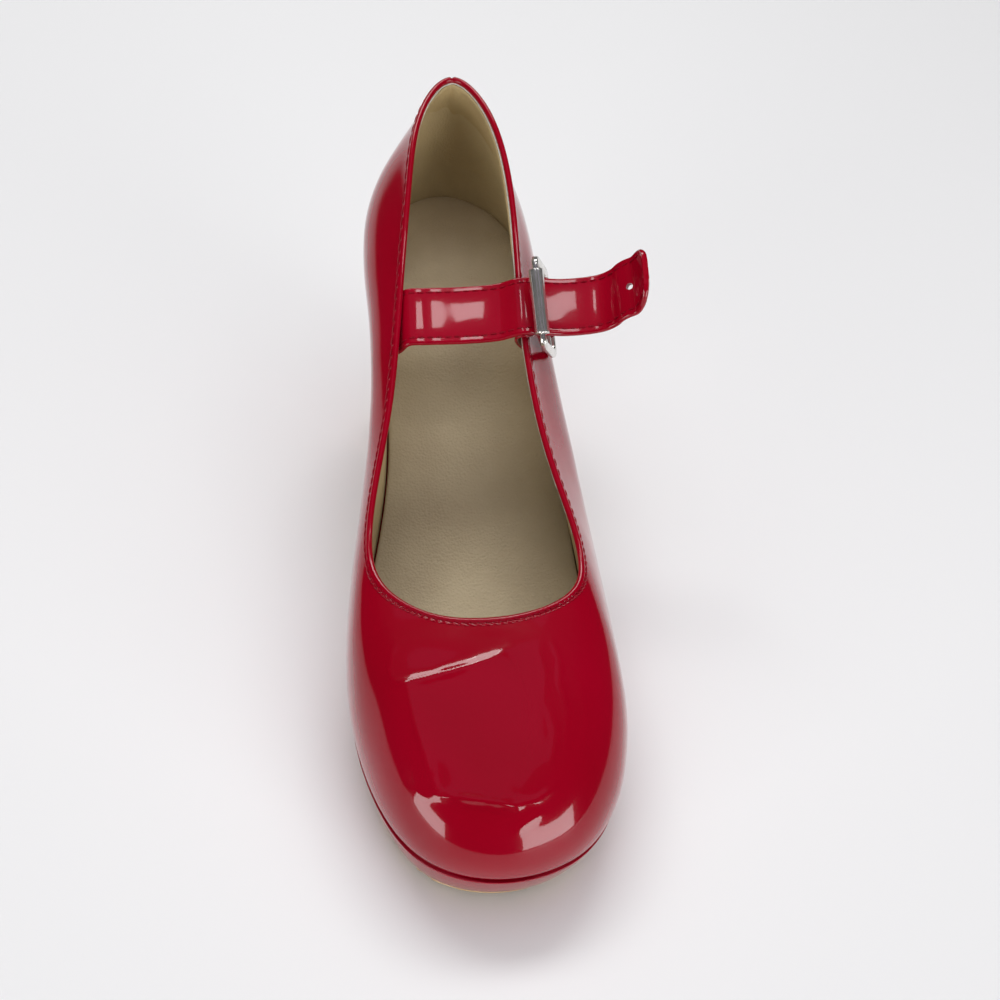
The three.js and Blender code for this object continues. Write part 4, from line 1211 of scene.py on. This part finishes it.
def buckle_ring():
    """The frame: flat wire with rounded edges, bent round four corners, with an axle and a centre bar."""
    sides = 16
    turn = full_turn(sides)
    wide = np.sign(np.cos(turn)) * np.abs(np.cos(turn)) ** 0.6 * BUCKLE_WIRE / 2
    deep = np.sign(np.sin(turn)) * np.abs(np.sin(turn)) ** 0.6 * BUCKLE_DEPTH / 2
    path, edges = wire_path()
    ring = path[:, None, :] + edges[:, None, :] * wide[None, :, None]
    solid = np.concatenate([ring, np.broadcast_to(deep[None, :, None], ring.shape[:2] + (1,))], 2)
    solid[..., 1] -= BAR_SPACING
    # under the roller the wire shrinks to the axle
    axle = BAR_DIAMETER / 2 * 0.98 * np.stack([np.zeros(sides), np.cos(turn), np.sin(turn)], -1)
    on_top = path[:, 1] > BUCKLE_LENGTH / 2 - BUCKLE_WIRE
    in_roller = np.abs(path[:, 0]) < ROLLER_LENGTH / 2 + AXLE_PAST_ROLLER
    for i in np.where(on_top & in_roller)[0]:
        solid[i] = np.array([path[i, 0], 0, 0]) + axle
    vertices = solid.reshape(-1, 3)
    bar_end = np.array([(BUCKLE_WIDTH - BUCKLE_WIRE) / 2, -BAR_SPACING, 0])
    bar, bar_faces = rod(bar_end * (-1, 1, 1), bar_end, BAR_DIAMETER / 2, sides, len(vertices))
    faces = grid_faces(len(path), sides, True, True) + bar_faces
    piece = make_piece("buckle_ring", in_buckle(np.concatenate([vertices, bar])), faces, [STEEL])
    piece.data.set_sharp_from_angle(angle=math.radians(55))
    weld(piece, FINE_WELD)
    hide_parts("buckle_frame")


def rod(a, b, radius, sides, first):
    """Vertices and faces of a round rod from one point to another, its vertices numbered from first."""
    run = unit(b - a)
    side = unit(np.cross(run, UP))
    turn = full_turn(sides)[:, None]
    ring = radius * (np.cos(turn) * side + np.sin(turn) * np.cross(run, side))
    faces = grid_faces(2, sides, False, True, first) + end_caps(first, first + sides, sides)
    return np.concatenate([a + ring, b + ring]), faces


SEAM_TURN = 1.35
SEAM_HALF_TURN = 0.09
SEAM_DEPTH = 0.22


def buckle_roller():
    """A tube rolled from sheet, with its seam along it."""
    sides = 64
    inner = BAR_DIAMETER / 2 + GAP
    outer = ROLLER_DIAMETER / 2
    half = ROLLER_LENGTH / 2
    profile = [(-half, inner), (-half, outer - 0.35), (-half + 0.1, outer - 0.12), (-half + 0.35, outer)]
    profile += [(x, outer) for x in np.linspace(-half + 1, half - 1, 12)]
    profile += [(half - 0.35, outer), (half - 0.1, outer - 0.12), (half, outer - 0.35), (half, inner)]
    turn = full_turn(sides)
    seam = SEAM_DEPTH * np.exp(-(((turn - SEAM_TURN) / SEAM_HALF_TURN) ** 2))
    rows = []
    for along, radius in profile:
        reach = radius - seam * (radius > inner)
        rows.append(np.stack([np.full(sides, along), reach * np.sin(turn), reach * np.cos(turn)], -1))
    points = in_buckle(np.array(rows)).reshape(-1, 3)
    piece = make_piece("buckle_roller_tube", points, grid_faces(len(profile), sides, True, True), [STEEL])
    weld(piece, FINE_WELD)
    piece.data.set_sharp_from_angle(angle=SHARP)
    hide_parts("buckle_roller")


TAB_LOOP = (BAR_DIAMETER + TAB_THICKNESS) / 2 + GAP + BEND_ROOM / 2
# Shares of the tab's length between which it turns from the strap's direction to the bar's
TAB_TWIST = (0.45, 0.66)


def arc_points(x, rise, radius, start, end, steps):
    turn = np.linspace(start, end, steps + 1)
    return np.stack([x + radius * np.cos(turn), rise + radius * np.sin(turn)], -1).tolist()


def tab_profile():
    """The tab's middle line: inside the outer wall, over the rim, round the centre bar."""
    clear = GAP + BEND_ROOM + TAB_THICKNESS / 2
    bar_x, bar_rise = in_strap_plane(BAR_IN_PLANE)
    slope = math.atan2(bar_rise - RIM_RISE, bar_x - RIM_X)
    cross = math.asin((TAB_BEND + TAB_LOOP) / math.hypot(bar_x - RIM_X, bar_rise - RIM_RISE))
    heading = slope - cross
    line = [inside_wall(OUTER_U, TAB_DEPTH, clear), inside_wall(OUTER_U, TAB_DEPTH / 2, clear)]
    line += arc_points(RIM_X, RIM_RISE, TAB_BEND, math.pi * 0.9, heading + math.pi / 2, 6)
    line += arc_points(bar_x, bar_rise, TAB_LOOP, heading - math.pi / 2, heading + math.pi * 0.7, 9)
    return np.array(line)


def cut_prong_slot(piece):
    """Room for the prong's eye in the tab's loop."""
    room = 4 * TAB_LOOP * MM
    turn = Matrix(BUCKLE_AXES.tolist()).transposed().to_4x4()
    size = Matrix.Diagonal(((PRONG_DIAMETER + 2 * GAP) * MM, room, room, 1))
    placed = Matrix.Translation(Vector(BAR_CENTRE * MM)) @ turn @ size
    cut_away(piece, lambda bm: bmesh.ops.create_cube(bm, size=1.0), placed)


def buckle_tab():
    piece = band_piece("buckle_tab_leather", "buckle_tab", tab_profile(), TAB_THICKNESS,
                       lambda share: TAB_WIDTH / 2 + 0 * share, STRAP_UP, 120, 21, 0.0,
                       lambda share: float(smoothstep(share, *TAB_TWIST)))
    cut_prong_slot(piece)


def buckle_pin():
    """The prong: an eye round the centre bar, and a pin that thins to its tip and leans over the bar."""
    radius = PRONG_DIAMETER / 2
    eye_radius = BAR_DIAMETER / 2 + GAP + radius
    rings, sides = 40, 14
    round_bar = full_turn(rings)[:, None]
    round_wire = full_turn(sides)
    reach = eye_radius + radius * np.cos(round_wire)
    eye = np.stack([radius * np.sin(round_wire) + 0 * round_bar, reach * np.cos(round_bar),
                    reach * np.sin(round_bar)], -1).reshape(-1, 3)
    rows = []
    for share, thin in ((0, 1), (0.3, 0.97), (0.7, 0.9), (0.92, 0.84), (0.98, 0.6), (1, 0.2)):
        up = np.full(sides, lerp(eye_radius, PRONG_LENGTH, share))
        wire = thin * radius
        rows.append(np.stack([wire * np.cos(round_wire), up, wire * np.sin(round_wire)], -1))
    first = len(eye)
    faces = grid_faces(rings, sides, True, True) + grid_faces(len(rows), sides, False, True, first)
    faces += end_caps(first, first + (len(rows) - 1) * sides, sides)
    x, y, z = np.concatenate([eye, np.concatenate(rows)]).T
    c, s = math.cos(PRONG_LEAN), math.sin(PRONG_LEAN)
    points = np.stack([x, y * c - z * s - BAR_SPACING, y * s + z * c], -1)
    piece = make_piece("buckle_pin", in_buckle(points), faces, [STEEL])
    weld(piece, FINE_WELD)
    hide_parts("buckle_prong")


def build_scene():
    upper_skin()
    binding()
    lining()
    counter_lining()
    topline_stitching()
    platform_cover()
    outsole_sheet()
    heel_cover()
    top_lift()
    sock()
    strap()
    buckle_tab()
    buckle_ring()
    buckle_roller()
    buckle_pin()


build_scene()


# Floor, light and camera

# Area lights: name, place and size in metres, power in watts. The low windows show on the toe,
# the one behind on the folds' back sides, and the small cards, flat above the strap, only in its gloss.
WINDOWS = [
    ("window_left", (-1.0, -1.05, 0.25), (0.72, 0.45), 6.5),
    ("window_right", (0.72, -1.15, 0.26), (0.8, 0.45), 7.5),
    ("window_back", (-0.1, 0.73, 1.5), (1.3, 0.36), 12),
]
CARDS = [
    ("card_over_instep", (0.0026, -0.0688, 0.24), (0.0084, 0.0147), 0.0031),
    ("card_over_strap", (0.0657, -0.0688, 0.24), (0.058, 0.0147), 0.019),
]
LIGHTS_AIM = (0, -0.1, 0.05)
FLOOR_HALF = 3.0


def stage():
    floor = make_floor()
    for light in WINDOWS:
        window(*light)
    for light in CARDS:
        card(*light)
    sheen = window("ceiling_sheen", (0.05, -0.35, 1.8), (1.5, 1.3), 1.1)
    sheen.data.color = (0.7, 0.5, 1.0)
    fill = window("ceiling_fill", (0.0, 0.1, 2.0), (3.0, 3.0), 34)
    fill.visible_glossy = False
    world = bpy.data.worlds.new("room")
    bpy.context.scene.world = world
    world.use_nodes = True
    background = world.node_tree.nodes["Background"]
    background.inputs["Color"].default_value = (0.95, 0.97, 1.0, 1)
    background.inputs["Strength"].default_value = 0.03


def make_floor():
    mesh = bpy.data.meshes.new("floor")
    corners = [(x * FLOOR_HALF, y * FLOOR_HALF, 0) for x, y in ((-1, -1), (1, -1), (1, 1), (-1, 1))]
    mesh.from_pydata(corners, [], [(0, 1, 2, 3)])
    material, _, shader, _ = new_material("white_floor")
    shader.inputs["Base Color"].default_value = (0.86, 0.86, 0.86, 1)
    shader.inputs["Roughness"].default_value = 0.6
    mesh.materials.append(material)
    floor = bpy.data.objects.new("floor", mesh)
    bpy.context.scene.collection.objects.link(floor)
    return floor


def window(name, place_at, size, power):
    light = bpy.data.lights.new(name, "AREA")
    light.shape = "RECTANGLE"
    light.size, light.size_y = size
    light.energy = power
    lamp = bpy.data.objects.new(name, light)
    bpy.context.scene.collection.objects.link(lamp)
    lamp.location = place_at
    aim = Vector(LIGHTS_AIM) - Vector(place_at)
    lamp.rotation_euler = aim.to_track_quat("-Z", "Y").to_euler()
    return lamp


def card(name, place_at, size, power):
    lamp = window(name, place_at, size, power)
    lamp.rotation_euler = (0, 0, 0)
    lamp.visible_camera = False


# The camera stands in front of the toe and above it, as the photograph's does. Its place is in metres, its
# angles in degrees, and the shift brings the one shoe to the middle.
CAMERA_PLACE = (-0.0562, -0.3630, 0.3362)
CAMERA_DOWN = 46.96
CAMERA_PAN = 4.57
CAMERA_ROLL = -2.16
CAMERA_LENS = 43.35
CAMERA_SHIFT = 0.138


def camera():
    data = bpy.data.cameras.new("camera")
    data.lens = CAMERA_LENS
    data.shift_x = CAMERA_SHIFT
    data.sensor_width = 36
    data.clip_start = 0.01
    eye = bpy.data.objects.new("camera", data)
    bpy.context.scene.collection.objects.link(eye)
    down, pan, roll = [math.radians(angle) for angle in (CAMERA_DOWN, CAMERA_PAN, CAMERA_ROLL)]
    forward = Vector((math.sin(pan) * math.cos(down), math.cos(pan) * math.cos(down), -math.sin(down)))
    right = Vector((math.cos(pan), -math.sin(pan), 0))
    low = forward.cross(right)
    across = right * math.cos(roll) + low * math.sin(roll)
    below = low * math.cos(roll) - right * math.sin(roll)
    turn = Matrix((across, -below, -forward)).transposed().to_4x4()
    eye.matrix_world = Matrix.Translation(Vector(CAMERA_PLACE)) @ turn
    bpy.context.scene.camera = eye


stage()
camera()
bpy.context.scene.view_settings.view_transform = "Standard"
bpy.context.scene.view_settings.look = "None"
